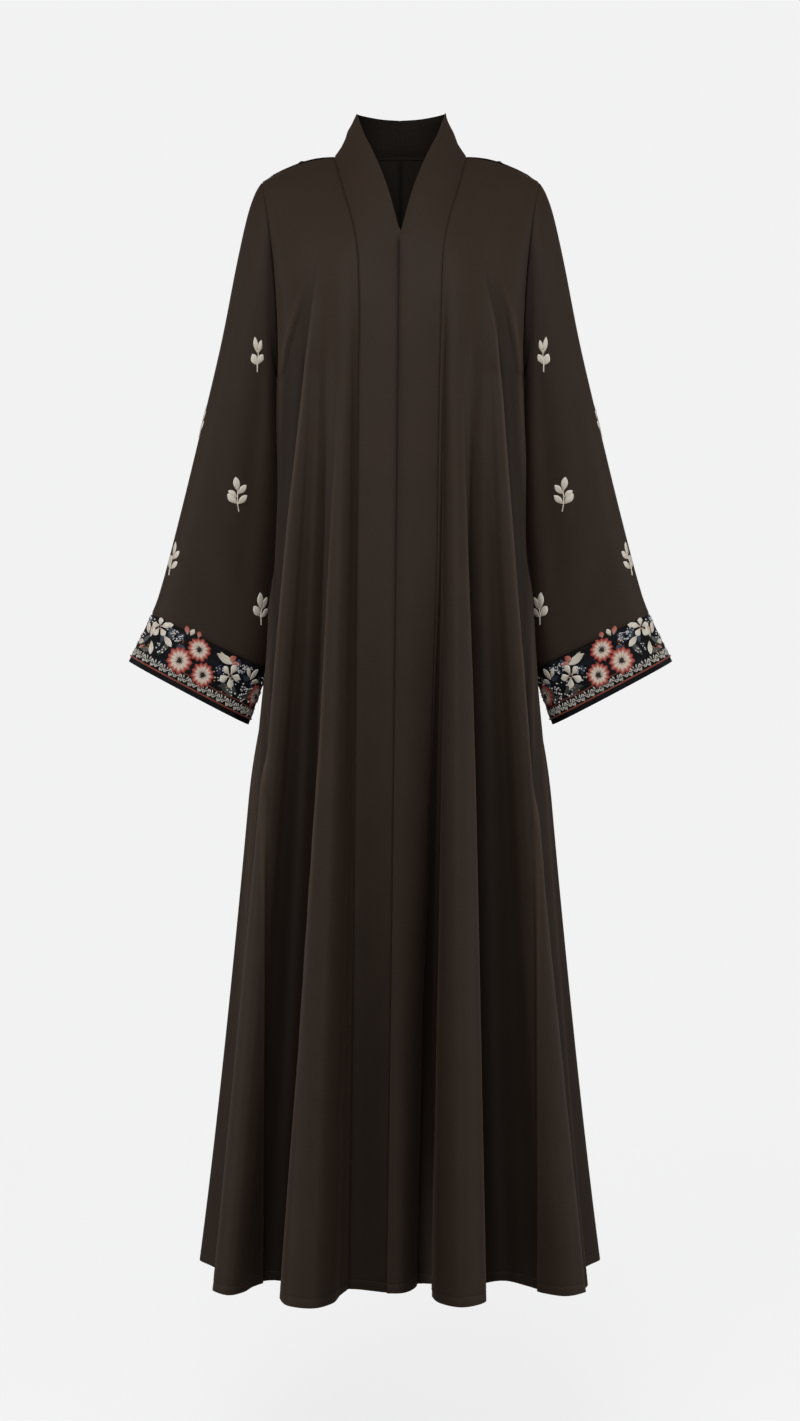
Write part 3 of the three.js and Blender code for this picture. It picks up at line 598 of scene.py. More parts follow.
def yoke(top, bottom, plain, start, end, down, across):
    """A patch between four edges, whose lines swell out as its lower edge does."""
    u, v = across[None, :, None], down[:, None, None]
    upper = (1 - v) ** CORNER_FADE
    depth = ((start[:, 1] - end[:, 1]) / (bottom[0, 1] - bottom[-1, 1]))[:, None]
    place = start[:, None] + (end - start)[:, None] * u
    place = place + (top - (top[0] + (top[-1] - top[0]) * across[:, None])) * upper
    swell = plain - (plain[0] + (plain[-1] - plain[0]) * across[:, None])
    flare = bottom - (bottom[0] + (bottom[-1] - bottom[0]) * across[:, None]) - swell
    place[..., 0] += swell[:, 0] * v[..., 0]
    place[..., 1] += swell[:, 1] * depth * (1 - upper[..., 0])
    return place + flare * v**FLARE_FADE


# ------------------------------------------------------------------ grids of the pieces


def with_edges(count, offsets, both=True):
    """Even shares from 0 to 1, with closer ones at the ends, where a seam dips."""
    even = [k / count for k in range(count + 1)]
    close = [*offsets, *([1 - offset for offset in offsets] if both else [])]
    return np.array(sorted({round(share, 6) for share in [*even, *close]}))


ROWS_DOWN_YOKE = with_edges(36, (0.008, 0.018), both=False)
ROWS_ROUND_NECK = with_edges(20, ())
COLUMNS_SHOULDER = with_edges(210, (0.002, 0.003))
COLUMNS_BAND = with_edges(20, (0.01, 0.025))
HEM_STEPS = (0, 0.7, 2.2, 6, 10.2, 11, 11.7, 12.5, 15)  # rows close to the hem's edge
ROWS_DOWN_SKIRT = np.array(
    sorted({*np.linspace(BUST_LEVEL, HEM_LEVEL + 22, 78).round(3)}
           | {HEM_LEVEL + step for step in HEM_STEPS}, reverse=True))
ROUND_SLEEVE = np.concatenate([-180 * ROWS_DOWN_YOKE[:0:-1], 180 * ROWS_DOWN_YOKE])
ALONG_SLEEVE = np.concatenate([[0, 0.03, 0.08], np.linspace(0, CUFF_TOP, 81)[2:-1],
                               [CUFF_TOP - 0.02, CUFF_TOP]])
ALONG_CUFF = np.concatenate([[CUFF_TOP, CUFF_TOP + 0.015],
                             np.linspace(CUFF_TOP, CUFF_END, 17)[1:-1],
                             [CUFF_END - 0.01, CUFF_END]])


def front_grid(side):
    """A front, from its band's seam to the side seam and from the shoulder to the hem."""
    turns = even_turns(side * BAND_SEAM_TURN, side * SIDE_SEAM_TURN, COLUMNS_SHOULDER)
    upper = yoke(
        shoulder(side, COLUMNS_SHOULDER), body(turns, BUST_LEVEL), plain_bust(turns),
        band_seam(side, ROWS_DOWN_YOKE), sleeve_point(side, 0, 180 * ROWS_DOWN_YOKE),
        ROWS_DOWN_YOKE, COLUMNS_SHOULDER)
    return np.concatenate([upper, body(turns[None], ROWS_DOWN_SKIRT[1:, None])])


def back_grid(side):
    """Half of the back, from the centre back seam to the side seam."""
    shares = np.concatenate([
        ROWS_ROUND_NECK * COLLAR_PART,
        COLLAR_PART + COLUMNS_SHOULDER[1:] * (1 - COLLAR_PART)])
    turns = even_turns(side * 180, side * SIDE_SEAM_TURN, shares)
    top = np.concatenate([
        back_neck(side, ROWS_ROUND_NECK), shoulder(side, COLUMNS_SHOULDER[1:])])
    bottom = body(turns, BUST_LEVEL)
    centre = np.zeros((len(ROWS_DOWN_YOKE), 3))
    fall = 1 - (1 - ROWS_DOWN_YOKE) ** 2.2
    centre[:, 1] = top[0, 1] + (bottom[0, 1] - top[0, 1]) * fall
    centre[:, 2] = top[0, 2] + (bottom[0, 2] - top[0, 2]) * ROWS_DOWN_YOKE
    upper = yoke(
        top, bottom, plain_bust(turns), centre, sleeve_point(side, 0, -180 * ROWS_DOWN_YOKE),
        ROWS_DOWN_YOKE, shares)
    return np.concatenate([upper, body(turns[None], ROWS_DOWN_SKIRT[1:, None])])


def edge_at(edge, z):
    """The x of a band's free edge at a level."""
    share = limited((V_POINT[2] - z) / (V_POINT[2] - HEM_LEVEL))
    return edge[0] + (edge[1] - edge[0]) * share**1.2


def band_grid(side):
    """A front band with its half of the collar, from centre back to the hem."""
    on_top = side > 0
    columns = COLUMNS_BAND
    behind = UNDER_BAND_DEPTH * np.interp(columns * 3, [0, 1, 2, 3], [0, 0.6, 1, 1])
    seam = np.concatenate([
        back_neck(side, ROWS_ROUND_NECK), band_seam(side, ROWS_DOWN_YOKE[1:])])
    above_v = ROWS_DOWN_YOKE[(ROWS_DOWN_YOKE > 0) & (ROWS_DOWN_YOKE <= V_SHARE + 1e-6)]
    below_v = ROWS_DOWN_YOKE[ROWS_DOWN_YOKE > V_SHARE + 1e-6]
    free = np.concatenate([
        collar_top(side, ROWS_ROUND_NECK),
        smooth_line([*mirrored(NECK_EDGE, side), V_POINT], above_v / V_SHARE),
        smooth_line([V_POINT, *CENTRE_FRONT, body(0, BUST_LEVEL)],
                    (below_v - V_SHARE) / (1 - V_SHARE))])
    v_row = len(ROWS_ROUND_NECK) + len(above_v) - 1
    rows = []
    for row, (start, end) in enumerate(zip(seam, free)):
        width = math.hypot(end[0] - start[0], end[2] - start[2])
        at = [0, 0.3, 0.65, 1]
        if row >= v_row:
            near, far = sorted(
                1 - reach / width for reach in
                ((edge_at(TOP_EDGE, end[2]), edge_at(UNDER_EDGE, end[2])) if on_top else
                 (-edge_at(TOP_EDGE, end[2]), -edge_at(UNDER_EDGE, end[2]))))
            at = [0, near / 2, near, far]
        shares = np.interp(columns * 3, [0, 1, 2, 3], at)
        coarse = (row - len(ROWS_ROUND_NECK) + 1) / 4  # in rows of the solid, below the neck
        hollow = COLLAR_HOLLOW * min(max(1 - coarse / 3, 0), 1)
        fullness = 1.3 * min(max(coarse - 2, 0), 1)
        line = start + (end - start) * shares[:, None]
        arch = 4 * np.minimum(shares, 1) * np.maximum(0, 1 - shares)
        sideways = line[:, :2] / np.linalg.norm(line[:, :2], axis=1)[:, None]
        line[:, :2] -= sideways * (hollow * arch * (1 - shares))[:, None]
        line[:, 1] -= fullness * arch
        if not on_top:
            line[:, 1] += behind * min(max(row - v_row + 1, 0) / 3, 1)
        rows.append(line)
    z = ROWS_DOWN_SKIRT
    top, under = DEGREES_PER_MM * edge_at(TOP_EDGE, z), DEGREES_PER_MM * edge_at(UNDER_EDGE, z)
    start = BAND_SEAM_TURN if on_top else -BAND_SEAM_TURN
    near, far = (under, top) if on_top else (top, under)
    for level, *knots in zip(z, np.full_like(z, start), (start + near) / 2, near, far):
        line = body(np.interp(columns * 3, [0, 1, 2, 3], knots), level)
        if not on_top:
            line[:, 1] += behind
        rows.append(line)
    del rows[len(seam) - 1]
    return np.array(rows)


def sleeve_grid(side, along):
    """A sleeve or a cuff, all round from the underarm seam to itself."""
    return crease_sleeve(side, along[:, None], ROUND_SLEEVE[None, :])


# ------------------------------------------------------------------ cut cloth


def face_normals(grid, facing):
    """Unit normals of a grid's quads, summed at its points."""
    falling = grid[1:, 1:] - grid[:-1, :-1]
    rising = grid[1:, :-1] - grid[:-1, 1:]
    faces = np.cross(falling, rising) * facing
    faces /= np.maximum(np.linalg.norm(faces, axis=-1, keepdims=True), 1e-9)
    sums = np.zeros_like(grid)
    for rows in (slice(None, -1), slice(1, None)):
        for columns in (slice(None, -1), slice(1, None)):
            sums[rows, columns] += faces
    return sums


def shared_normals(pieces):
    """Normals that are the same in all the pieces that meet at a point."""
    points = np.concatenate([piece["grid"].reshape(-1, 3) for piece in pieces.values()])
    sums = np.concatenate([
        face_normals(piece["grid"], piece["facing"]).reshape(-1, 3) for piece in pieces.values()])
    _, place = np.unique(np.round(points, 2), axis=0, return_inverse=True)
    place = place.ravel()
    shared = np.zeros((place.max() + 1, 3))
    np.add.at(shared, place, sums)
    shared /= np.linalg.norm(shared, axis=1)[:, None]
    done = 0
    for piece in pieces.values():
        count = piece["grid"].shape[0] * piece["grid"].shape[1]
        piece["normals"] = shared[place[done:done + count]].reshape(piece["grid"].shape)
        done += count


def arc_lengths(grid):
    """How far each point lies along its row and down its column."""
    across = np.linalg.norm(np.diff(grid, axis=1), axis=-1)
    down = np.linalg.norm(np.diff(grid, axis=0), axis=-1)
    u = np.concatenate([np.zeros((grid.shape[0], 1)), np.cumsum(across, axis=1)], axis=1)
    v = np.concatenate([np.zeros((1, grid.shape[1])), np.cumsum(down, axis=0)], axis=0)
    return u, v


def cut_pieces():
    """Every piece of cloth with its grid, normals and folds."""
    pieces = {}
    for hand, side in HANDS.items():
        pieces[f"front_{hand}"] = {"grid": front_grid(side), "facing": -side}
        pieces[f"back_{hand}"] = {"grid": back_grid(side), "facing": side}
        pieces[f"band_{hand}"] = {"grid": band_grid(side), "facing": side}
        pieces[f"sleeve_{hand}"] = {"grid": sleeve_grid(side, ALONG_SLEEVE), "facing": side}
        pieces[f"cuff_{hand}"] = {"grid": sleeve_grid(side, ALONG_CUFF), "facing": side}
    shared_normals(pieces)
    for name, piece in pieces.items():
        if name.startswith(("front", "back", "band")):
            push, piece["crests"] = crease_body(piece["grid"])
            piece["grid"] = piece["grid"] + piece["normals"] * push[..., None]
            piece["push"] = push
    shared_normals(pieces)
    return pieces


PIECES = cut_pieces()


def add_map(mesh, name, places):
    """A UV map from one place for each of the mesh's points."""
    layer = mesh.uv_layers.new(name=name)
    corners = np.empty(len(mesh.loops), dtype=np.int32)
    mesh.loops.foreach_get("vertex_index", corners)
    layer.data.foreach_set("uv", places[corners].ravel())


def wall_mesh(name, outer, inner, flip, recess, crests):
    """A closed wall between two grids. Its outside and rims take the first material, its inside
    the second. One map is in metres of cloth, the other holds the painted shade, by how deep in a
    fold or other shaded place a point lies, and the painted highlight, by how near it is to a
    fold's crest."""
    rows, columns = outer.shape[:2]
    count = rows * columns
    index = np.arange(count).reshape(rows, columns)
    quads = np.stack([index[:-1, :-1], index[1:, :-1], index[1:, 1:], index[:-1, 1:]], axis=-1)
    quads = quads.reshape(-1, 4)
    edge = np.concatenate([index[0], index[1:, -1], index[-1, -2::-1], index[-2:0:-1, 0]])
    after = np.roll(edge, -1)
    rims = np.stack([edge, after, after + count, edge + count], axis=-1)
    faces = np.concatenate([quads, quads[:, ::-1] + count, rims])
    if flip:
        faces = faces[:, ::-1]
    sides = np.zeros(len(faces), dtype=np.int32)
    sides[len(quads):2 * len(quads)] = 1
    points = np.concatenate([outer.reshape(-1, 3), inner.reshape(-1, 3)]) * MM
    mesh = bpy.data.meshes.new(name)
    mesh.from_pydata(points.tolist(), [], faces.tolist())
    u, v = arc_lengths(outer)
    for title, across, down in (("cloth", u * MM, v * MM), ("folds", recess, crests)):
        places = np.stack([across.ravel(), down.ravel()], axis=-1)
        add_map(mesh, title, np.tile(places, (2, 1)))
    mesh.polygons.foreach_set("material_index", sides)
    mesh.shade_smooth()
    mesh.set_sharp_from_angle(angle=math.radians(50))
    mesh.update()
    return mesh


def add_object(name, mesh, *materials):
    """An object in the scene with a mesh and its materials."""
    for material in materials:
        mesh.materials.append(material)
    thing = bpy.data.objects.new(name, mesh)
    bpy.context.scene.collection.objects.link(thing)
    return thing


# ------------------------------------------------------------------ needlework

sleeve_cloths = {}


class SleeveCloth:
    """The outside of one sleeve with its cuff. `at` runs down it as in the sleeve's table, and
    `round` is the share of the way from the outer line to the underarm seam, at the front
    above 0 and at the back below it."""

    STEPS_DOWN = 181
    STEPS_ROUND = 561
    HALF_TURN = 360  # steps of half a degree

    def __init__(self, side):
        at = np.linspace(0, CUFF_END, self.STEPS_DOWN)
        around = np.linspace(-1, 1, self.STEPS_ROUND)
        angles = np.linspace(-180, 180, 2 * self.HALF_TURN + 1)
        rows = []
        for line in crease_sleeve(side, at[:, None], angles[None, :]):
            walked = walked_along(line)
            back = walked[self.HALF_TURN]
            front = walked[-1] - back
            shares = np.where(walked < back, (walked - back) / back, (walked - back) / front)
            rows.append(read_along(line, shares, around))
        self.points = np.array(rows)
        normals = face_normals(self.points, side)
        self.normals = normals / np.linalg.norm(normals, axis=-1, keepdims=True)

    def read(self, table, at, around):
        """The value of a table between its grid points."""
        row = np.clip(at / CUFF_END * (self.STEPS_DOWN - 1), 0, self.STEPS_DOWN - 1.001)
        column = (np.asarray(around) + 1) / 2 * (self.STEPS_ROUND - 1)
        column = np.mod(column, self.STEPS_ROUND - 1)
        i, j = row.astype(int), column.astype(int)
        a, b = (row - i)[..., None], (column - j)[..., None]
        upper = table[i, j] * (1 - b) + table[i, j + 1] * b
        lower = table[i + 1, j] * (1 - b) + table[i + 1, j + 1] * b
        return upper * (1 - a) + lower * a

    def place(self, at, around, lift=0.0):
        """Points on the sleeve, lifted off it by so many mm."""
        at, around = np.broadcast_arrays(np.asarray(at, float), np.asarray(around, float))
        lift = np.broadcast_to(np.asarray(lift, float), at.shape)
        normal = self.read(self.normals, at, around)
        return self.read(self.points, at, around) + normal * lift[..., None]

    def up_the_cuff(self, up, around):
        """The place on the cuff that lies `up` mm above its lower edge."""
        around = np.asarray(around, float)
        top, end = self.place(CUFF_TOP, around), self.place(CUFF_END, around)
        return CUFF_END - up / np.linalg.norm(top - end, axis=-1)

    def cuff_place(self, gap):
        """What puts a shape on the cuff: mm round it from the outer line, mm above its edge and
        mm off the cloth, over a gap."""

        def place(shape):
            around = shape[..., 0] / CUFF_HALF_ROUND
            return self.place(self.up_the_cuff(shape[..., 1], around), around, shape[..., 2] + gap)

        return place


def sleeve_cloth(hand):
    """The outside of one sleeve, worked out once."""
    if hand not in sleeve_cloths:
        sleeve_cloths[hand] = SleeveCloth(HANDS[hand])
    return sleeve_cloths[hand]


class Spot:
    """A small flat piece of a sleeve: its points are mm across, mm up and mm off the cloth.
    Its heading is clockwise from straight up."""

    GAP = 0.4  # from the cloth to what is laid on it

    def __init__(self, cloth, at, around, heading):
        self.cloth, self.at, self.around = cloth, at, around
        step = 0.004
        across = cloth.place(at, around + step) - cloth.place(at, around - step)
        down = cloth.place(min(at + step, CUFF_END), around) - cloth.place(at - step, around)
        across, down = across / (2 * step), down / (min(at + step, CUFF_END) - at + step)
        normal = cloth.read(cloth.normals, np.array(float(at)), np.array(float(around)))
        unit = across / np.linalg.norm(across)
        up = np.cross(normal, unit)
        if np.dot(up, down) > 0:
            up = -up
        self.round_per_across = 1 / np.linalg.norm(across)
        self.at_per_up = 1 / np.dot(down, up)
        self.round_per_up = -self.at_per_up * np.dot(down, unit) * self.round_per_across
        heading = math.radians(heading) + math.atan2(unit[2], up[2])
        self.cos, self.sin = math.cos(heading), math.sin(heading)

    def lay(self, shape):
        """Points of a shape in mm, put on the sleeve."""
        x, y, lift = np.moveaxis(shape, -1, 0)
        across, up = x * self.cos + y * self.sin, y * self.cos - x * self.sin
        around = self.around + across * self.round_per_across + up * self.round_per_up
        return self.cloth.place(self.at + up * self.at_per_up, around, lift + self.GAP)


class Needlework:
    """Stitched shapes and beads that are joined into one mesh."""

    def __init__(self, flip):
        self.flip = flip
        self.points, self.faces, self.maps, self.finishes = [], [], [], []
        self.count = 0
        self.names = []

    def add_grid(self, points, stitches, finish, closed=False):
        """A patch of points, or a tube where its rows close round."""
        rows, columns = points.shape[:2]
        index = np.arange(rows * columns).reshape(rows, columns) + self.count
        if closed:
            index = np.concatenate([index, index[:, :1]], axis=1)
        quads = np.stack(
            [index[:-1, :-1], index[:-1, 1:], index[1:, 1:], index[1:, :-1]], axis=-1)
        self.add(points.reshape(-1, 3), quads.reshape(-1, 4), stitches.reshape(-1, 2), finish)

    def add(self, points, faces, stitches, finish):
        """Points with their faces and their places in the stitch map."""
        faces = np.asarray(faces)
        self.points.append(points)
        self.faces.extend((faces[:, ::-1] if self.flip else faces).tolist())
        self.maps.append(stitches)
        if finish not in self.names:
            self.names.append(finish)
        self.finishes.extend([self.names.index(finish)] * len(faces))
        self.count += len(points)

    def make(self, name):
        """The mesh of all that was added, as one object."""
        mesh = bpy.data.meshes.new(name)
        mesh.from_pydata((np.concatenate(self.points) * MM).tolist(), [], self.faces)
        for finish in self.names:
            mesh.materials.append(finish_named(finish))
        mesh.polygons.foreach_set("material_index", self.finishes)
        add_map(mesh, "stitches", np.concatenate(self.maps))
        mesh.shade_smooth()
        mesh.update()
        thing = add_object(name, mesh)
        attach(thing, BODY)
        return thing


def leaf_shape(length, width, height, fullest=0.55, vein=0.35):
    """A padded leaf, its stalk end at the origin and its tip up. Its stitch map runs from 0 at
    the stalk to 1 at the tip and from -1 to 1 across."""
    t, c = np.meshgrid(np.linspace(0, 1, 12), np.linspace(-1, 1, 7), indexing="ij")
    rise = t ** (math.log(0.5) / math.log(fullest))
    half = width / 2 * (0.06 + 0.94 * np.sin(np.pi * rise) ** 0.8)
    crown = np.sqrt(np.maximum(1 - c**2, 0)) * (0.35 + 0.65 * np.sin(np.pi * t) ** 0.5)
    lift = height * crown - vein * soft(c, 0.22) * np.sin(np.pi * t) - 0.5 * np.abs(c) ** 8
    shape = np.stack([half * c, length * t, lift], axis=-1)
    return shape, np.stack([t, c], axis=-1)


def turned(shape, heading, x=0.0, y=0.0):
    """A shape turned clockwise by its heading and moved to x, y."""
    cos, sin = math.cos(math.radians(heading)), math.sin(math.radians(heading))
    out = shape.copy()
    out[..., 0] = shape[..., 0] * cos + shape[..., 1] * sin + x
    out[..., 1] = shape[..., 1] * cos - shape[..., 0] * sin + y
    return out


def thread_tube(work, place, path, radius, finish, sides=6):
    """A round thread laid along a path of (across, up), where place() puts it on the cloth. It
    is sunk in it by three tenths of its radius."""
    path = np.asarray(path, float)
    ahead = np.gradient(path, axis=0)
    ahead /= np.maximum(np.linalg.norm(ahead, axis=1, keepdims=True), 1e-9)
    beside = np.stack([-ahead[:, 1], ahead[:, 0]], axis=-1)
    turn = np.linspace(0, 2 * np.pi, sides, endpoint=False)
    flat = path[:, None] + beside[:, None] * (np.cos(turn) * radius)[None, :, None]
    lift = np.broadcast_to(np.sin(turn) * radius + radius * 0.7, flat.shape[:2])
    points = place(np.concatenate([flat, lift[..., None]], axis=-1))
    walked = walked_along(path)
    stitches = np.stack(np.broadcast_arrays(walked[:, None], turn[None] / (2 * np.pi)), axis=-1)
    work.add_grid(points, np.array(stitches), finish, closed=True)


def add_bead(work, place, x, y, radius, lift, finish, sides=8):
    """A round bead that stands on the cloth."""
    turn = np.linspace(0, 2 * np.pi, sides, endpoint=False)
    rings = np.array([(1.0, 0.0), (0.95, 0.5), (0.62, 0.95), (0.05, 1.15)]) * radius
    spread, height = rings[:, :1], rings[:, 1:] + lift
    shape = np.stack(np.broadcast_arrays(
        x + np.cos(turn) * spread, y + np.sin(turn) * spread, height), axis=-1)
    map_u, map_v = np.meshgrid(np.linspace(0, 1, 4), turn * 0, indexing="ij")
    work.add_grid(place(shape), np.stack([map_u, map_v], axis=-1), finish, closed=True)


def add_leaf(work, place, leaf, finish, height, lift=0.0, **form):
    """A leaf from its stalk end's x and y, heading, length and width."""
    x, y, heading, length, width = leaf
    shape, stitches = leaf_shape(length, width, height, **form)
    shape[..., 2] += lift
    work.add_grid(place(turned(shape, heading, x, y)), stitches, finish)


def add_flower(work, place, x, y, radius, turn, petals, finish, eye, lift, width=0.46):
    """Petals round an eye of small beads, each a little different."""
    for k in range(petals):
        heading = turn + 360 / petals * k
        length = (radius - eye * 0.7) * (1 + 0.05 * math.sin(k * 2.4 + turn))
        start = math.radians(heading)
        leaf = (x + math.sin(start) * eye * 0.7, y + math.cos(start) * eye * 0.7, heading,
                length, radius * width)
        add_leaf(work, place, leaf, finish, 0.8, lift + 0.25 * (k % 2), fullest=0.66, vein=0.1)
    add_bead(work, place, x, y, eye * 0.85, lift, "eye", sides=14)
    for k in range(9):
        angle = math.radians(turn + 40 * k)
        add_bead(work, place, x + math.cos(angle) * eye, y + math.sin(angle) * eye, 0.75,
                 lift + 0.9, "pearl" if k % 3 else "gold_bead", sides=6)


# ------------------------------------------------------------------ shader expressions


class Value:
    """A shader socket that takes part in Python expressions."""

    def __init__(self, paint, socket):
        self.paint = paint
        self.socket = socket

    def combine(self, operation, *values):
        """A Math node of numbers. Colours go through Paint.mixed."""
        return self.paint.node("Math", {"operation": operation}, dict(enumerate(values)))

    def __add__(self, other):
        return self.combine("ADD", self, other)

    def __radd__(self, other):
        return self.combine("ADD", other, self)

    def __sub__(self, other):
        return self.combine("SUBTRACT", self, other)

    def __rsub__(self, other):
        return self.combine("SUBTRACT", other, self)

    def __mul__(self, other):
        return self.combine("MULTIPLY", self, other)

    def __rmul__(self, other):
        return self.combine("MULTIPLY", self, other)

    def __pow__(self, other):
        return self.combine("POWER", self, other)

    def sine(self):
        return self.combine("SINE", self)

    def clamped(self, low, high):
        """0 below low, 1 above high."""
        return self.paint.node(
            "MapRange", {"clamp": True},
            {"Value": self, "From Min": low, "From Max": high})


class Paint:
    """The nodes of one material."""

    def __init__(self, name):
        self.material = bpy.data.materials.new(name)
        self.material.use_nodes = True
        self.tree = self.material.node_tree
        self.shader = self.tree.nodes["Principled BSDF"]

    def node(self, kind, settings=None, sockets=None, output=0):
        """Any node: its type, its settings and the values or links of its sockets."""
        made = self.tree.nodes.new("ShaderNode" + kind)
        for name, setting in (settings or {}).items():
            if name == "stops":
                self.set_stops(made.color_ramp, setting)
            else:
                setattr(made, name, setting)
        for name, value in (sockets or {}).items():
            self.feed(made.inputs[name], value)
        return Value(self, made.outputs[output])

    def set_stops(self, ramp, stops):
        while len(ramp.elements) < len(stops):
            ramp.elements.new(0.5)
        for element, (position, colour) in zip(ramp.elements, stops):
            element.position = position
            element.color = (*colour[:3], 1)

    def feed(self, socket, value):
        if isinstance(value, Value):
            self.tree.links.new(value.socket, socket)
        elif socket.type == "RGBA":
            socket.default_value = (*value[:3], 1)
        else:
            socket.default_value = value

    def set(self, **sockets):
        """Values or links for the sockets of the surface."""
        for name, value in sockets.items():
            title = name.replace("_", " ").title().replace("Ior", "IOR")
            self.feed(self.shader.inputs[title], value)

    def mixed(self, first, second, share):
        return self.node(
            "Mix", {"data_type": "RGBA"}, {0: share, 6: first, 7: second}, output=2)

    def map(self, name):
        return self.node("UVMap", {"uv_map": name})

    def parts(self, vector):
        """The x, y and z of a vector."""
        split = self.node("SeparateXYZ", {}, {0: vector})
        outputs = split.socket.node.outputs
        return [Value(self, outputs[axis]) for axis in range(3)]

    def place(self):
        return self.node("TexCoord", {}, {}, output=3)

    def noise(self, where, scale, detail):
        return self.node("TexNoise", {}, {"Vector": where, "Scale": scale, "Detail": detail})

    def bumped(self, height, distance, strength=0.5):
        normal = self.node("Bump", {}, {
            "Height": height, "Distance": distance, "Strength": strength})
        self.feed(self.shader.inputs["Normal"], normal)


# ------------------------------------------------------------------ settings


class ClothSettings(bpy.types.PropertyGroup):
    """Sizes and colours of the crepe, and the strength of its painted shade and painted highlight.
    """

    thickness: FloatProperty(
        name="Thickness", description="How thick the crepe is drawn",
        default=0.9 * MM, min=0.3 * MM, max=3 * MM, precision=4, subtype="DISTANCE",
        unit="LENGTH")
    hem_depth: FloatProperty(
        name="Hem depth", description="Height of the hem's stitch line above its edge",
        default=11.4 * MM, min=5 * MM, max=40 * MM, precision=4, subtype="DISTANCE",
        unit="LENGTH")
    seam_dip: FloatProperty(
        name="Seam dip", description="How far the cloth dips in at a seam",
        default=1.5 * MM, min=0, max=2 * MM, precision=4, subtype="DISTANCE", unit="LENGTH")
    # Painted shade deep in the folds and painted highlight along the fold crests, as shares of the
    # crepe's colour.
    painted_fold_shade: FloatProperty(
        name="Fold shade", description="How much darker the cloth is deep in its folds",
        default=0.72, min=0, max=1)
    painted_crest_light: FloatProperty(
        name="Crest light", description="How much lighter the cloth is along its fold crests",
        default=0.62, min=0, max=1)
    colour: FloatVectorProperty(
        name="Crepe", description="Colour of the crepe in full light",
        default=(0.0520, 0.0337, 0.0239), size=3, min=0, max=1, subtype="COLOR")
    # The darker threads of the crepe; the painted shade in folds and on the wrong side is made
    # from this colour too.
    shade: FloatVectorProperty(
        name="Crepe shade", description="Colour of the darker threads of the crepe",
        default=(0.0362, 0.0246, 0.0176), size=3, min=0, max=1, subtype="COLOR")


class StageSettings(bpy.types.PropertyGroup):
    """The floor, the backdrop and the lights."""

    floor_level: FloatProperty(
        name="Floor level", description="Height of the floor", default=-1.75,
        min=-3, max=-1.5, subtype="DISTANCE", unit="LENGTH")
    backdrop: FloatVectorProperty(
        name="Backdrop", description="Colour of the backdrop",
        default=(0.888, 0.888, 0.892), size=3, min=0, max=1, subtype="COLOR")
    floor: FloatVectorProperty(
        name="Floor", description="Colour of the floor",
        default=(0.28, 0.28, 0.28), size=3, min=0, max=1, subtype="COLOR")
    floor_glow: FloatProperty(
        name="Floor glow", description="Light of the floor's own, as of a lit backdrop",
        default=0.81, min=0, max=2)
    key_power: FloatProperty(
        name="Key light", description="Power of the soft light at the front left",
        default=60, min=0, max=500, subtype="POWER", unit="POWER")
    fill_power: FloatProperty(
        name="Fill light", description="Power of the soft light at the front right",
        default=16, min=0, max=500, subtype="POWER", unit="POWER")
    rim_power: FloatProperty(
        name="Side lights", description="Power of the strips at the two sides",
        default=19, min=0, max=500, subtype="POWER", unit="POWER")
    back_power: FloatProperty(
        name="Back light", description="Power of the soft light behind",
        default=48, min=0, max=500, subtype="POWER", unit="POWER")
    ambient: FloatProperty(
        name="Ambient", description="Strength of the light from all sides",
        default=0.09, min=0, max=2)


# ------------------------------------------------------------------ finishes


def crepe():
    """Brown crepe: a fine pebbled weave with a soft sheen, with painted shade in its folds and a
    painted highlight along their crests.
    """
    cloth = bpy.context.scene.robe_cloth
    paint = Paint("brown_crepe")
    where = paint.map("cloth")
    u, v, _ = paint.parts(where)
    warp = (u * 5200.0).sine()
    weft = (v * 5200.0).sine()
    pebbles = paint.noise(where, 1500.0, detail=1.0)
    cloudy = paint.noise(where, 14.0, detail=3.0)
    mottle = paint.noise(where, 420.0, detail=2.0)
    tone = cloudy.clamped(0.3, 0.7) * 0.35 + mottle.clamped(0.3, 0.7) * 0.65
    # Painted shade and painted highlight: the folds map holds how deep in shade a point lies and
    # how near it is to a fold's crest.
    recess, crest, _ = paint.parts(paint.map("folds"))
    threads = paint.mixed(cloth.shade, cloth.colour, tone)
    # Painted highlight: the crepe made lighter along the fold crests.
    lit = [part * 1.9 + 0.01 for part in cloth.colour]
    threads = paint.mixed(threads, lit, crest * cloth.painted_crest_light)
    # Painted shade: the crepe darkened toward a near-black brown deep in folds and the other
    # shaded places.
    deep = [part * 0.16 + 0.002 for part in cloth.shade]
    paint.set(
        base_color=paint.mixed(threads, deep, recess * cloth.painted_fold_shade),
        roughness=mottle.clamped(0.2, 0.8) * 0.1 + 0.55,
        specular_ior_level=0.11, sheen_weight=0.07, sheen_roughness=0.35,
        sheen_tint=(0.9, 0.58, 0.42))
    paint.bumped(pebbles + warp * weft * 0.25, 0.00016, 0.6)
    return paint.material


def crepe_inside():
    """The wrong side of the crepe, in painted shade: much darker than the crepe all over, as it
    lies in shadow, and near black deep in folds and the other shaded places.
    """
    cloth = bpy.context.scene.robe_cloth
    paint = Paint("crepe_inside")
    mottle = paint.noise(paint.map("cloth"), 420.0, detail=2.0)
    # Painted shade: the wrong side's colour is a fifth of the crepe's shade colour.
    painted_inside_shade = [part * 0.2 for part in cloth.shade]
    recess, _, _ = paint.parts(paint.map("folds"))
    threads = paint.mixed(painted_inside_shade, cloth.shade, mottle.clamped(0.35, 0.9) * 0.4)
    # Painted shade: near black deep in folds and the other shaded places.
    paint.set(base_color=paint.mixed(threads, (0.001, 0.001, 0.001), recess * 0.8),
              roughness=0.8, specular_ior_level=0.15)
    paint.bumped(mottle, 0.0001)
    return paint.material


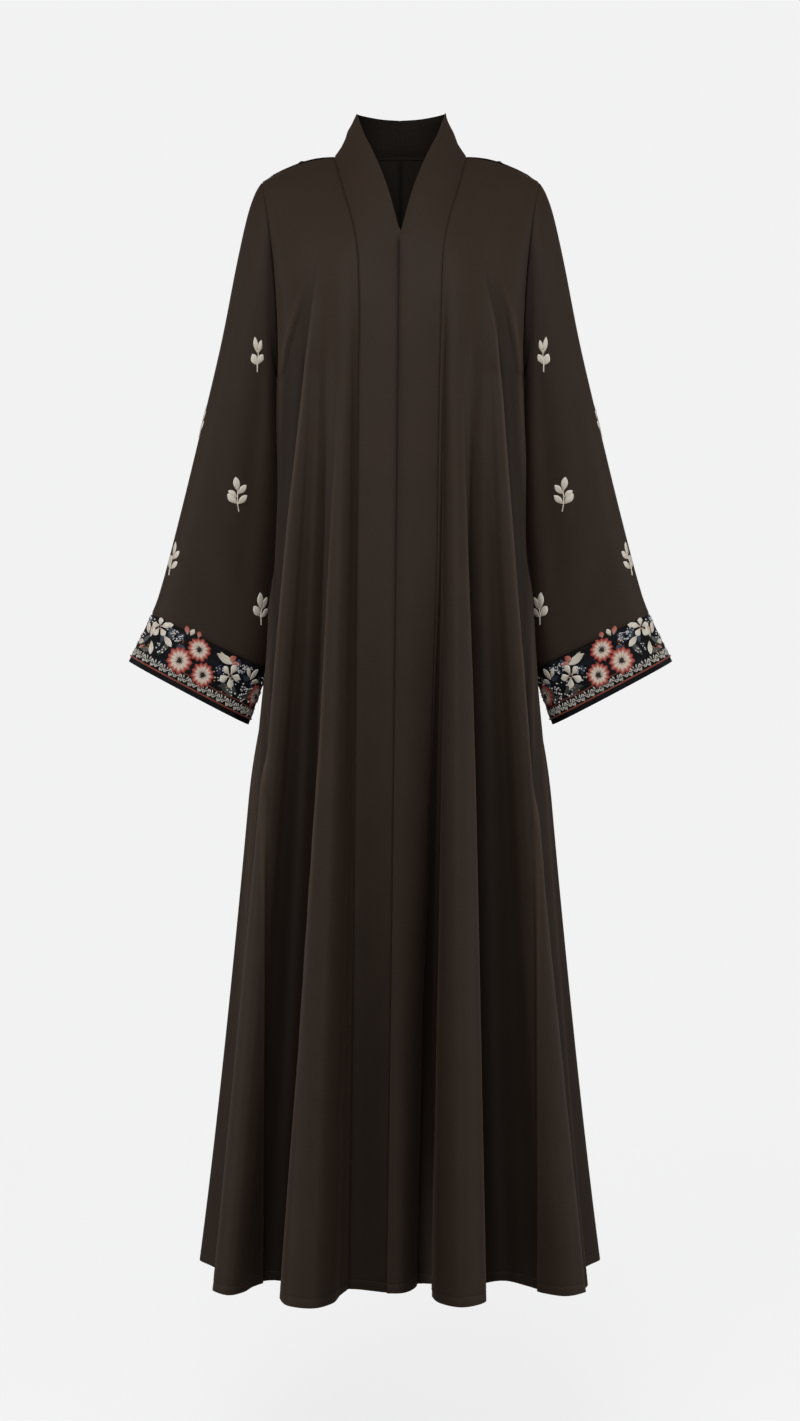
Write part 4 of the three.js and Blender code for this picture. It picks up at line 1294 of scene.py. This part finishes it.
def cuff_ground():
    """The black ground of the cuffs."""
    paint = Paint("cuff_ground")
    where = paint.map("cloth")
    u, v, _ = paint.parts(where)
    patches = paint.noise(where, 55.0, detail=3.0)
    weave = (u * 3600.0).sine() * (v * 3600.0).sine()
    paint.set(
        base_color=paint.mixed((0.005, 0.0045, 0.0045), (0.010, 0.012, 0.016),
                               patches.clamped(0.45, 0.6)),
        roughness=patches.clamped(0.2, 0.8) * 0.15 + 0.7, specular_ior_level=0.15)
    paint.bumped(weave, 0.0001)
    return paint.material


def satin(name, stops, edge, rim=0.82, along=2.2, across=9.0, lean=0.0):
    """Satin stitch: colours from stalk to tip, a darker edge and fine slanted threads."""
    paint = Paint(name)
    where = paint.map("stitches")
    u, v, _ = paint.parts(where)
    side = (v * v) ** 0.5
    colour = paint.node("ValToRGB", {"stops": stops}, {"Fac": u + side * lean})
    threads = (u * along * 30.0 + side * across).sine() * 0.5 + 0.5
    worn = paint.noise(paint.place(), 700.0, detail=1.0)
    colour = paint.mixed(colour, edge, side.clamped(rim, 1.02) * 0.8)
    shaded = paint.mixed(colour, edge, threads.clamped(0.55, 1.0) * worn.clamped(0.3, 0.7) * 0.28)
    paint.set(base_color=shaded, roughness=0.5, sheen_weight=0.1, specular_ior_level=0.35)
    paint.bumped(threads, 0.00025)
    return paint.material


def bead_glass(name, colour, roughness=0.18, metallic=0.0):
    """A glossy bead, each part of it a little lighter or darker."""
    paint = Paint(name)
    tone = paint.noise(paint.place(), 160.0, detail=1.0).clamped(0.35, 0.65)
    paint.set(
        base_color=paint.mixed([part * 0.75 for part in colour], colour, tone),
        roughness=roughness, metallic=metallic, coat_weight=0.5, coat_roughness=0.08)
    return paint.material


finishes = {}
CLOTHS = {"crepe": crepe, "inside": crepe_inside, "cuff_ground": cuff_ground}
BEADS = {
    "pearl": {"colour": (0.80, 0.79, 0.76)},
    "navy_bead": {"colour": (0.035, 0.06, 0.15)},
    "gold_bead": {"colour": (0.75, 0.30, 0.09), "roughness": 0.25, "metallic": 0.4},
}
# Threads: the material's name, colours from stalk to tip, the edge's colour, what else differs.
THREADS = {
    "cream": (
        "cream_thread",
        [(0, (0.60, 0.47, 0.34)), (0.35, (0.76, 0.67, 0.55)), (1, (0.95, 0.89, 0.79))],
        (0.95, 0.91, 0.82), {"rim": 0.5}),
    "petal": (
        "petal_thread",
        [(0, (0.88, 0.82, 0.72)), (0.54, (0.90, 0.74, 0.62)), (0.76, (0.62, 0.19, 0.14)),
         (0.98, (0.38, 0.045, 0.035))],
        (0.28, 0.025, 0.02), {"rim": 0.78, "along": 0.4, "across": 16.0, "lean": 0.28}),
    "coral": (
        "coral_thread",
        [(0, (0.62, 0.42, 0.34)), (0.5, (0.58, 0.20, 0.15)), (1, (0.50, 0.10, 0.07))],
        (0.36, 0.05, 0.035), {}),
    "green": (
        "green_thread", [(0, (0.028, 0.034, 0.030)), (1, (0.105, 0.115, 0.105))],
        (0.010, 0.012, 0.012), {"rim": 0.7, "along": 0.3, "across": 17.0}),
    "navy": (
        "navy_thread", [(0, (0.012, 0.018, 0.038)), (1, (0.050, 0.075, 0.130))],
        (0.006, 0.008, 0.014), {"rim": 0.7, "along": 0.3, "across": 15.0}),
    "border": (
        "border_thread", [(0, (0.56, 0.53, 0.47)), (1, (0.72, 0.69, 0.62))],
        (0.20, 0.19, 0.17), {"rim": 0.9}),
    "cord": (
        "cord_thread", [(0, (0.46, 0.125, 0.075)), (1, (0.46, 0.125, 0.075))],
        (0.22, 0.04, 0.02), {"rim": 1.5, "along": 0.05, "across": 6.0}),
    "seam": (
        "seam_thread", [(0, (0.080, 0.060, 0.047)), (1, (0.100, 0.075, 0.060))],
        (0.05, 0.035, 0.027), {"rim": 1.5}),
    "eye": (
        "flower_eye", [(0, (0.012, 0.010, 0.009)), (1, (0.03, 0.02, 0.015))],
        (0.01, 0.01, 0.01), {}),
}


def finish_named(name):
    """The material of a finish, made when it is first asked for."""
    if name not in finishes:
        if name in THREADS:
            material_name, stops, edge, form = THREADS[name]
            finishes[name] = satin(material_name, stops, edge, **form)
        elif name in BEADS:
            finishes[name] = bead_glass(name, **BEADS[name])
        else:
            finishes[name] = CLOTHS[name]()
    return finishes[name]


# ------------------------------------------------------------------ cloth pieces


def near_edge(distance, width=SEAM_WIDTH):
    """1 at an edge, falling to 0 at so many mm from it."""
    return limited(1 - distance / width) ** 2


def shoulder_roll(name, grid, down, dip):
    """The front's shoulder edge sinks to its seam; the back's rolls over it, with a knot."""
    x = np.abs(grid[..., 0])
    if name.startswith("front"):
        return -dip * near_edge(down, SHOULDER_SEAM_WIDTH)
    if name.startswith("back"):
        beyond_neck = limited((x - 92) / 20) * limited((178 - x) / 14)
        knot = 1 + 0.9 * soft(x - SHOULDER_KNOT, 3.5)
        return SHOULDER_ROLL * beyond_neck * knot * soft(down - 4.5, 3.4)
    return 0.0


def collar_creases(name, grid):
    """The small creases at the front of the collar."""
    relief = np.zeros(grid.shape[:2])
    if not name.startswith("band"):
        return relief
    for x, z, heading, length, spread, height in COLLAR_CREASES:
        east, north = grid[..., 0] - x, grid[..., 2] - z
        cos, sin = math.cos(math.radians(heading)), math.sin(math.radians(heading))
        along, beside = east * sin + north * cos, east * cos - north * sin
        facing = limited(-grid[..., 1] / 12 + 1.2)
        relief += height * facing * soft(along, length / 2) * soft(beside, spread)
    return relief


def body_recess(name, grid, push):
    """The painted shade of a front, back or band: its folds, the under band toward the hem, a
    painted shadow beside the top band's free edge, and the back seam.
    """
    recess = limited(-push / FOLD_SHADE["depth"]) ** FOLD_SHADE["curve"]
    level = grid[..., 2]
    # Painted shade on the under band, growing toward the hem, and a painted shadow beside the top
    # band's free edge.
    if name == "band_right":
        sunk = limited((BAND_SHADE["start"] - level) / BAND_SHADE["growth"])
        below_v = limited((V_POINT[2] - level) / BAND_EDGE_SHADE["growth"])
        beside = edge_at(TOP_EDGE, level) - grid[..., 0] - BAND_EDGE_SHADE["gap"]
        edge = soft(np.maximum(beside, 0), BAND_EDGE_SHADE["spread"])
        recess = np.maximum(np.maximum(recess, BAND_SHADE["most"] * sunk), edge * below_v)
    # Painted shade along the centre back seam.
    if name.startswith("back"):
        recess = np.maximum(recess, soft(grid[..., 0], CENTRE_BACK_SHADE))
    return recess


def sleeve_recess(grid):
    """The painted shade of a sleeve: a little all over, more on its inner side, and beside the
    body where it meets it.
    """
    shade, armhole = SLEEVE_SHADE, ARMHOLE_SHADE
    # Painted shade: a little over all the sleeve, more on the inner side of its upper part, and
    # beside the body near the armhole.
    inner = limited((np.abs(ROUND_SLEEVE)[None, :] - shade["angle"]) / shade["grows"])
    upper = limited((shade["end"] - ALONG_SLEEVE) / shade["fade"])
    upper = limited(ALONG_SLEEVE / 0.8) * upper
    inner = shade["least"] + shade["more"] * inner * upper[:, None]
    beside = soft(np.maximum(np.abs(grid[..., 0]) - armhole["x"], 0), armhole["spread"])
    level = limited((armhole["top"] - grid[..., 2]) / armhole["growth"])
    level = level * limited((grid[..., 2] - armhole["bottom"]) / armhole["fade"])
    return np.maximum(inner, beside * level)


def fold_recess(name, piece):
    """How much painted shade the cloth's colour gets: from 0 on open cloth to 1 deep in a fold,
    where less light reaches the threads.
    """
    grid = piece["grid"]
    if "push" in piece:
        return body_recess(name, grid, piece["push"])
    if name.startswith("sleeve"):
        return sleeve_recess(grid)
    return np.zeros(grid.shape[:2])


def seam_relief(name, grid, cloth):
    """How far the cloth of a piece stands out or dips in, at its seams, edges and creases."""
    u, v = arc_lengths(grid)
    dip = cloth.seam_dip / MM
    relief = -dip * near_edge(np.minimum(u, u[:, -1:] - u))
    if name.startswith("band"):  # the seam is at the first column, the free edge at the last
        relief = -dip * near_edge(u)
    if name == "band_left":
        relief = relief + TOP_BAND_LIFT * near_edge(u[:, -1:] - u, TOP_BAND_LIFT_WIDTH)
    if name.startswith(("sleeve", "cuff")):
        relief = relief - dip * near_edge(v)
    else:
        stitches = grid[..., 2] - HEM_LEVEL - cloth.hem_depth / MM
        relief = relief - HEM_STITCH_DIP["depth"] * soft(stitches, HEM_STITCH_DIP["spread"])
    if name.startswith("sleeve"):
        relief = relief - dip * near_edge(v[-1:] - v)
    return relief + shoulder_roll(name, grid, v, dip) + collar_creases(name, grid)


def lay_cloth(name, finish):
    """A closed wall of cloth for one cut piece, in the place of its solid."""
    cloth = bpy.context.scene.robe_cloth
    piece = PIECES[name]
    grid, normals = piece["grid"], piece["normals"]
    half = cloth.thickness / MM / 2
    relief = seam_relief(name, grid, cloth)
    outer = grid + normals * (half + relief)[..., None]
    inner = grid + normals * (relief - half)[..., None]
    # Masks of the painted shade and of the painted highlight along fold crests, laid in the
    # piece's folds map.
    recess = fold_recess(name, piece)
    crests = piece.get("crests", np.zeros(grid.shape[:2]))
    mesh = wall_mesh(f"{name}_cloth", outer, inner, piece["facing"] > 0, recess, crests)
    thing = add_object(f"{name}_cloth", mesh, finish_named(finish), finish_named("inside"))
    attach(thing, BODY)
    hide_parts(name)


class ROBE_OT_body(bpy.types.Operator):
    """Lay the fronts and the backs"""

    bl_idname = "robe.body"
    bl_label = "Fronts and backs"

    def execute(self, context):
        for hand in HANDS:
            for part in ("front", "back"):
                lay_cloth(f"{part}_{hand}", "crepe")
        return {"FINISHED"}


class ROBE_OT_bands(bpy.types.Operator):
    """Lay the front bands with the collar"""

    bl_idname = "robe.bands"
    bl_label = "Bands and collar"

    def execute(self, context):
        for hand in HANDS:
            lay_cloth(f"band_{hand}", "crepe")
        return {"FINISHED"}


class ROBE_OT_sleeves(bpy.types.Operator):
    """Lay the sleeves and the cuffs"""

    bl_idname = "robe.sleeves"
    bl_label = "Sleeves and cuffs"

    def execute(self, context):
        for hand in HANDS:
            lay_cloth(f"sleeve_{hand}", "crepe")
            lay_cloth(f"cuff_{hand}", "cuff_ground")
        return {"FINISHED"}


def sewn_cuffs(kind, gap, seeds):
    """For each cuff, what places a shape on it and what it is sewn into, made afterwards."""
    for (hand, side), seed in zip(HANDS.items(), seeds):
        work = Needlework(side > 0)
        random.seed(seed)
        yield sleeve_cloth(hand).cuff_place(gap), work
        work.make(f"{kind}_{hand}")


class ROBE_OT_sprigs(bpy.types.Operator):
    """Stitch the leaf sprigs on the sleeves"""

    bl_idname = "robe.sprigs"
    bl_label = "Leaf sprigs"

    def execute(self, context):
        for hand, side in HANDS.items():
            cloth = sleeve_cloth(hand)
            work = Needlework(side > 0)
            for kind, at, around, heading in SPRIG_PLACES:
                spot = Spot(cloth, at, around, heading)
                leaves, stem = SPRIGS[kind]
                for leaf in leaves:
                    add_leaf(work, spot.lay, leaf, "cream", 1.1)
                line = smooth_line([(*point, 0) for point in stem], np.linspace(0, 1, 16))
                thread_tube(work, spot.lay, line[:, :2], 0.75, "cream")
            work.make(f"sprigs_{hand}")
        return {"FINISHED"}


class ROBE_OT_flowers(bpy.types.Operator):
    """Stitch the flowers and leaves of the cuffs"""

    bl_idname = "robe.flowers"
    bl_label = "Cuff flowers and leaves"

    def execute(self, context):
        for place, work in sewn_cuffs("flowers", 0.35, (11, 23)):
            for finish, leaves in CUFF_LEAVES:
                height, lift = (0.5, 0.0) if finish in ("green", "navy") else (0.8, 0.3)
                for x, y, heading, length, width in leaves:
                    heading += random.uniform(-4, 4)
                    add_leaf(work, place, (x, y, heading, length, width), finish, height, lift)
            for x, y, radius, turn in DAISIES:
                turn += random.uniform(-8, 8)
                add_flower(work, place, x, y, radius, turn, 13, "petal", 3.6, 0.9)
            for x, y, radius, turn in BLOSSOMS:
                add_flower(work, place, x, y, radius, turn, 5, "cream", 2.4, 0.7, 0.6)
        return {"FINISHED"}


class ROBE_OT_border(bpy.types.Operator):
    """Stitch the scroll border and the coral cords of the cuffs"""

    bl_idname = "robe.border"
    bl_label = "Cuff border and cords"

    def execute(self, context):
        for place, work in sewn_cuffs("border", 0.3, (31, 37)):
            whole = np.linspace(-BORDER_REACH, BORDER_REACH, 241)
            level = np.full_like(whole, CORD_LEVEL)
            thread_tube(work, place, np.stack([whole, level], -1), 1.15, "cord", 8)
            for start, end in SHORT_CORDS:
                part = np.linspace(start, end, 60)
                wander = SHORT_CORD_LEVEL + 0.7 * np.sin(part / 9)
                thread_tube(work, place, np.stack([part, wander], -1), 0.6, "cord")
            self.add_scroll(work, place)
        return {"FINISHED"}

    def add_scroll(self, work, place):
        """A wavy vine between two rows of slanted leaves, with a small ring in each wave."""
        period = 2 * BORDER_REACH / VINE_WAVES
        x = np.linspace(-BORDER_REACH, BORDER_REACH, VINE_WAVES * 12 + 1)
        y = VINE_LEVEL + VINE_SWING * np.sin((x + BORDER_REACH) / period * 2 * np.pi)
        thread_tube(work, place, np.stack([x, y], -1), 0.6, "border", 5)
        for k in range(VINE_WAVES * 2):
            middle = -BORDER_REACH + period * (k + 0.5) / 2
            up = 1 if k % 2 else -1
            self.add_ring(work, place, middle, VINE_LEVEL - up * 1.7, 1.7)
            base = 90 - 90 * up
            for shift, heading, length in VINE_LEAVES:
                heading += random.uniform(-7, 7)
                leaf = (middle + shift, VINE_LEVEL + up * 0.6, base + heading, length, 2.3)
                add_leaf(work, place, leaf, "border", 0.6, 0.2)

    def add_ring(self, work, place, x, y, radius):
        """A small ring of thread."""
        turns = np.linspace(0, 2 * np.pi, 11)
        ring = np.stack([x + radius * np.sin(turns), y + radius * np.cos(turns)], -1)
        thread_tube(work, place, ring, 0.5, "border", 5)


class ROBE_OT_beads(bpy.types.Operator):
    """Sew the beads on the cuffs"""

    bl_idname = "robe.beads"
    bl_label = "Beads"

    def execute(self, context):
        for place, work in sewn_cuffs("beads", 0.3, (5, 17)):
            for x, y, spread, count, finish in BEAD_GROUPS:
                for k in range(count):
                    reach = spread * (0.25 + 0.75 * math.sqrt((k + 0.5) / count))
                    angle = 2.4 * k + random.uniform(-0.4, 0.4)
                    bead_x = x + math.cos(angle) * reach
                    bead_y = y + math.sin(angle) * reach * 0.8
                    if self.is_free(bead_x, bead_y):
                        size = random.uniform(0.8, 1.35)
                        add_bead(work, place, bead_x, bead_y, size, 0.2, finish)
        return {"FINISHED"}

    def is_free(self, x, y):
        """Whether a bead here is on the cuff's field and off its large flowers."""
        lowest, highest = BEAD_LEVELS
        if not lowest < y < highest or abs(x) > CUFF_HALF_ROUND - 3:
            return False
        return all(math.hypot(x - flower[0], y - flower[1]) >= flower[2] * 0.98
                   for flower in DAISIES)


class ROBE_OT_stitches(bpy.types.Operator):
    """Sew the stitch line of the hem"""

    bl_idname = "robe.stitches"
    bl_label = "Hem stitches"

    def execute(self, context):
        for hand in HANDS:
            for part in ("front", "back", "band"):
                self.sew(f"{part}_{hand}", context.scene.robe_cloth)
        return {"FINISHED"}

    def sew(self, name, cloth):
        """Short raised stitches along one piece's hem."""
        piece = PIECES[name]
        work = Needlework(piece["facing"] < 0)
        level = HEM_LEVEL + cloth.hem_depth / MM
        row = int(np.argmin(np.abs(ROWS_DOWN_SKIRT - level))) - len(ROWS_DOWN_SKIRT)
        line = piece["grid"][row] + piece["normals"][row] * (cloth.thickness / MM / 2)
        walked = walked_along(line)
        count = int(walked[-1] / STITCH_LENGTH)
        shares = np.array([0, 0.2, 0.8, 1])[:, None, None]
        swell = np.array([0, 0.35, 0.35, 0])[:, None, None]
        wide = np.array([-0.3, 0, 0.3])[None, :, None]
        high = np.array([0.0, 1.0, 0.0])[None, :, None]
        stitch_map = np.stack(
            np.meshgrid(np.linspace(0, 1, 4), np.linspace(-1, 1, 3), indexing="ij"), axis=-1)
        for k in range(count):
            ends = np.array([k, k + 0.7]) * walked[-1] / count + 0.5
            start, end = read_along(line, walked, ends)
            normal = read_along(piece["normals"][row], walked, ends[0])
            run = end - start
            beside = np.cross(normal, run / np.linalg.norm(run))
            patch = start + run * shares + beside * wide + normal * high * swell
            work.add_grid(patch, stitch_map, "seam")
        work.make(f"hem_stitches_{name}")


class ROBE_OT_cuts(bpy.types.Operator):
    """Look up the objects sewn on each piece that has a flat cut"""

    bl_idname = "robe.cuts"
    bl_label = "Flat cuts"

    def execute(self, context):
        for name, (width, length, area) in FLAT_CUTS.items():
            part, hand = name.split("_")
            sewn = [f"{kind}_{hand}" for kind in SEWN_ON.get(part, ())]
            sewn = sewn or [f"hem_stitches_{name}"]
            [bpy.data.objects[each] for each in sewn]
        return {"FINISHED"}


# ------------------------------------------------------------------ stage


class ROBE_OT_stage(bpy.types.Operator):
    """Set the floor, the backdrop, the lights and the camera"""

    bl_idname = "robe.stage"
    bl_label = "Stage"

    def execute(self, context):
        stage = context.scene.robe_stage
        self.add_floor(stage)
        self.add_backdrop(stage)
        self.add_lights(stage)
        self.add_camera(context)
        return {"FINISHED"}

    def add_floor(self, stage):
        """A round floor that fades out into the backdrop."""
        ring = [(math.cos(a) * FLOOR_RADIUS, math.sin(a) * FLOOR_RADIUS, stage.floor_level)
                for a in np.linspace(0, 2 * math.pi, 64, endpoint=False)]
        mesh = bpy.data.meshes.new("floor")
        mesh.from_pydata(ring, [], [list(range(len(ring)))])
        paint = Paint("pale_floor")
        x, y, _ = paint.parts(paint.place())
        away = (x * x + y * y) ** 0.5
        paint.set(base_color=stage.floor, roughness=0.9, specular_ior_level=0.0,
                  emission_color=stage.backdrop, emission_strength=stage.floor_glow,
                  alpha=1.0 - away.clamped(1.0, FLOOR_RADIUS - 0.2))
        floor = add_object("floor", mesh, paint.material)
        floor.visible_diffuse = False
        floor.visible_glossy = False
        floor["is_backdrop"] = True

    def add_backdrop(self, stage):
        """A plain bright dome that only the camera sees."""
        bpy.ops.mesh.primitive_uv_sphere_add(
            segments=48, ring_count=24, radius=BACKDROP_RADIUS)
        dome = bpy.context.object
        dome.name = "backdrop"
        paint = Paint("backdrop")
        paint.set(base_color=(0, 0, 0), specular_ior_level=0.0,
                  emission_color=stage.backdrop, emission_strength=1.0)
        dome.data.materials.append(paint.material)
        dome.visible_diffuse = False
        dome.visible_glossy = False
        dome.visible_shadow = False
        dome.visible_transmission = False
        dome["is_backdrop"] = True

    def add_lights(self, stage):
        """Soft lights round the robe, and a little light from all sides."""
        world = bpy.data.worlds.new("studio")
        bpy.context.scene.world = world
        world.use_nodes = True
        background = world.node_tree.nodes["Background"]
        background.inputs["Color"].default_value = (1.0, 0.99, 0.98, 1)
        background.inputs["Strength"].default_value = stage.ambient
        for name, (place, size, power) in LIGHTS.items():
            lamp = bpy.data.lights.new(name, "AREA")
            lamp.shape = "RECTANGLE"
            lamp.size, lamp.size_y = size
            lamp.energy = getattr(stage, power)
            thing = bpy.data.objects.new(name, lamp)
            thing.location = place
            ahead = Vector(LIGHTS_AIM) - Vector(place)
            thing.rotation_euler = ahead.to_track_quat("-Z", "Y").to_euler()
            bpy.context.scene.collection.objects.link(thing)

    def add_camera(self, context):
        """A camera that looks straight at the front from mid height."""
        camera = bpy.data.cameras.new("camera")
        camera.lens = CAMERA_LENS
        camera.sensor_width = 36
        thing = bpy.data.objects.new("camera", camera)
        thing.location = CAMERA_PLACE
        thing.rotation_euler = (math.pi / 2, 0, 0)
        context.scene.collection.objects.link(thing)
        context.scene.camera = thing
        context.scene.view_settings.view_transform = "Standard"


# ------------------------------------------------------------------ add-on

OPERATORS = (
    ROBE_OT_body, ROBE_OT_bands, ROBE_OT_sleeves, ROBE_OT_sprigs, ROBE_OT_flowers,
    ROBE_OT_border, ROBE_OT_beads, ROBE_OT_stitches, ROBE_OT_cuts, ROBE_OT_stage)
SETTINGS = {"robe_cloth": ClothSettings, "robe_stage": StageSettings}


class ROBE_PT_panel(bpy.types.Panel):
    """The steps that make the robe"""

    bl_idname = "ROBE_PT_panel"
    bl_label = "Embroidered robe"
    bl_space_type = "VIEW_3D"
    bl_region_type = "UI"
    bl_category = "Robe"

    def draw(self, context):
        for name, group in SETTINGS.items():
            box = self.layout.box()
            for prop in group.__annotations__:
                box.prop(getattr(context.scene, name), prop)
        for operator in OPERATORS:
            self.layout.operator(operator.bl_idname)


def register():
    """Add the settings, the operators and the panel."""
    for group in (*SETTINGS.values(), *OPERATORS, ROBE_PT_panel):
        bpy.utils.register_class(group)
    for name, group in SETTINGS.items():
        setattr(bpy.types.Scene, name, PointerProperty(type=group))


def unregister():
    """Take them away again."""
    for name in SETTINGS:
        delattr(bpy.types.Scene, name)
    for group in (ROBE_PT_panel, *reversed(OPERATORS), *SETTINGS.values()):
        bpy.utils.unregister_class(group)


def main():
    """Make the robe and its stage, and work out the bounds of the solids and of the scene."""
    register()
    for operator in OPERATORS:
        group, step = operator.bl_idname.split(".")
        getattr(getattr(bpy.ops, group), step)()
    boxes = {"cad": cad_box, "visual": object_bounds()}
    plain = {name: [list(corner) for corner in box] for name, box in boxes.items()}


if __name__ == "__main__":
    main()
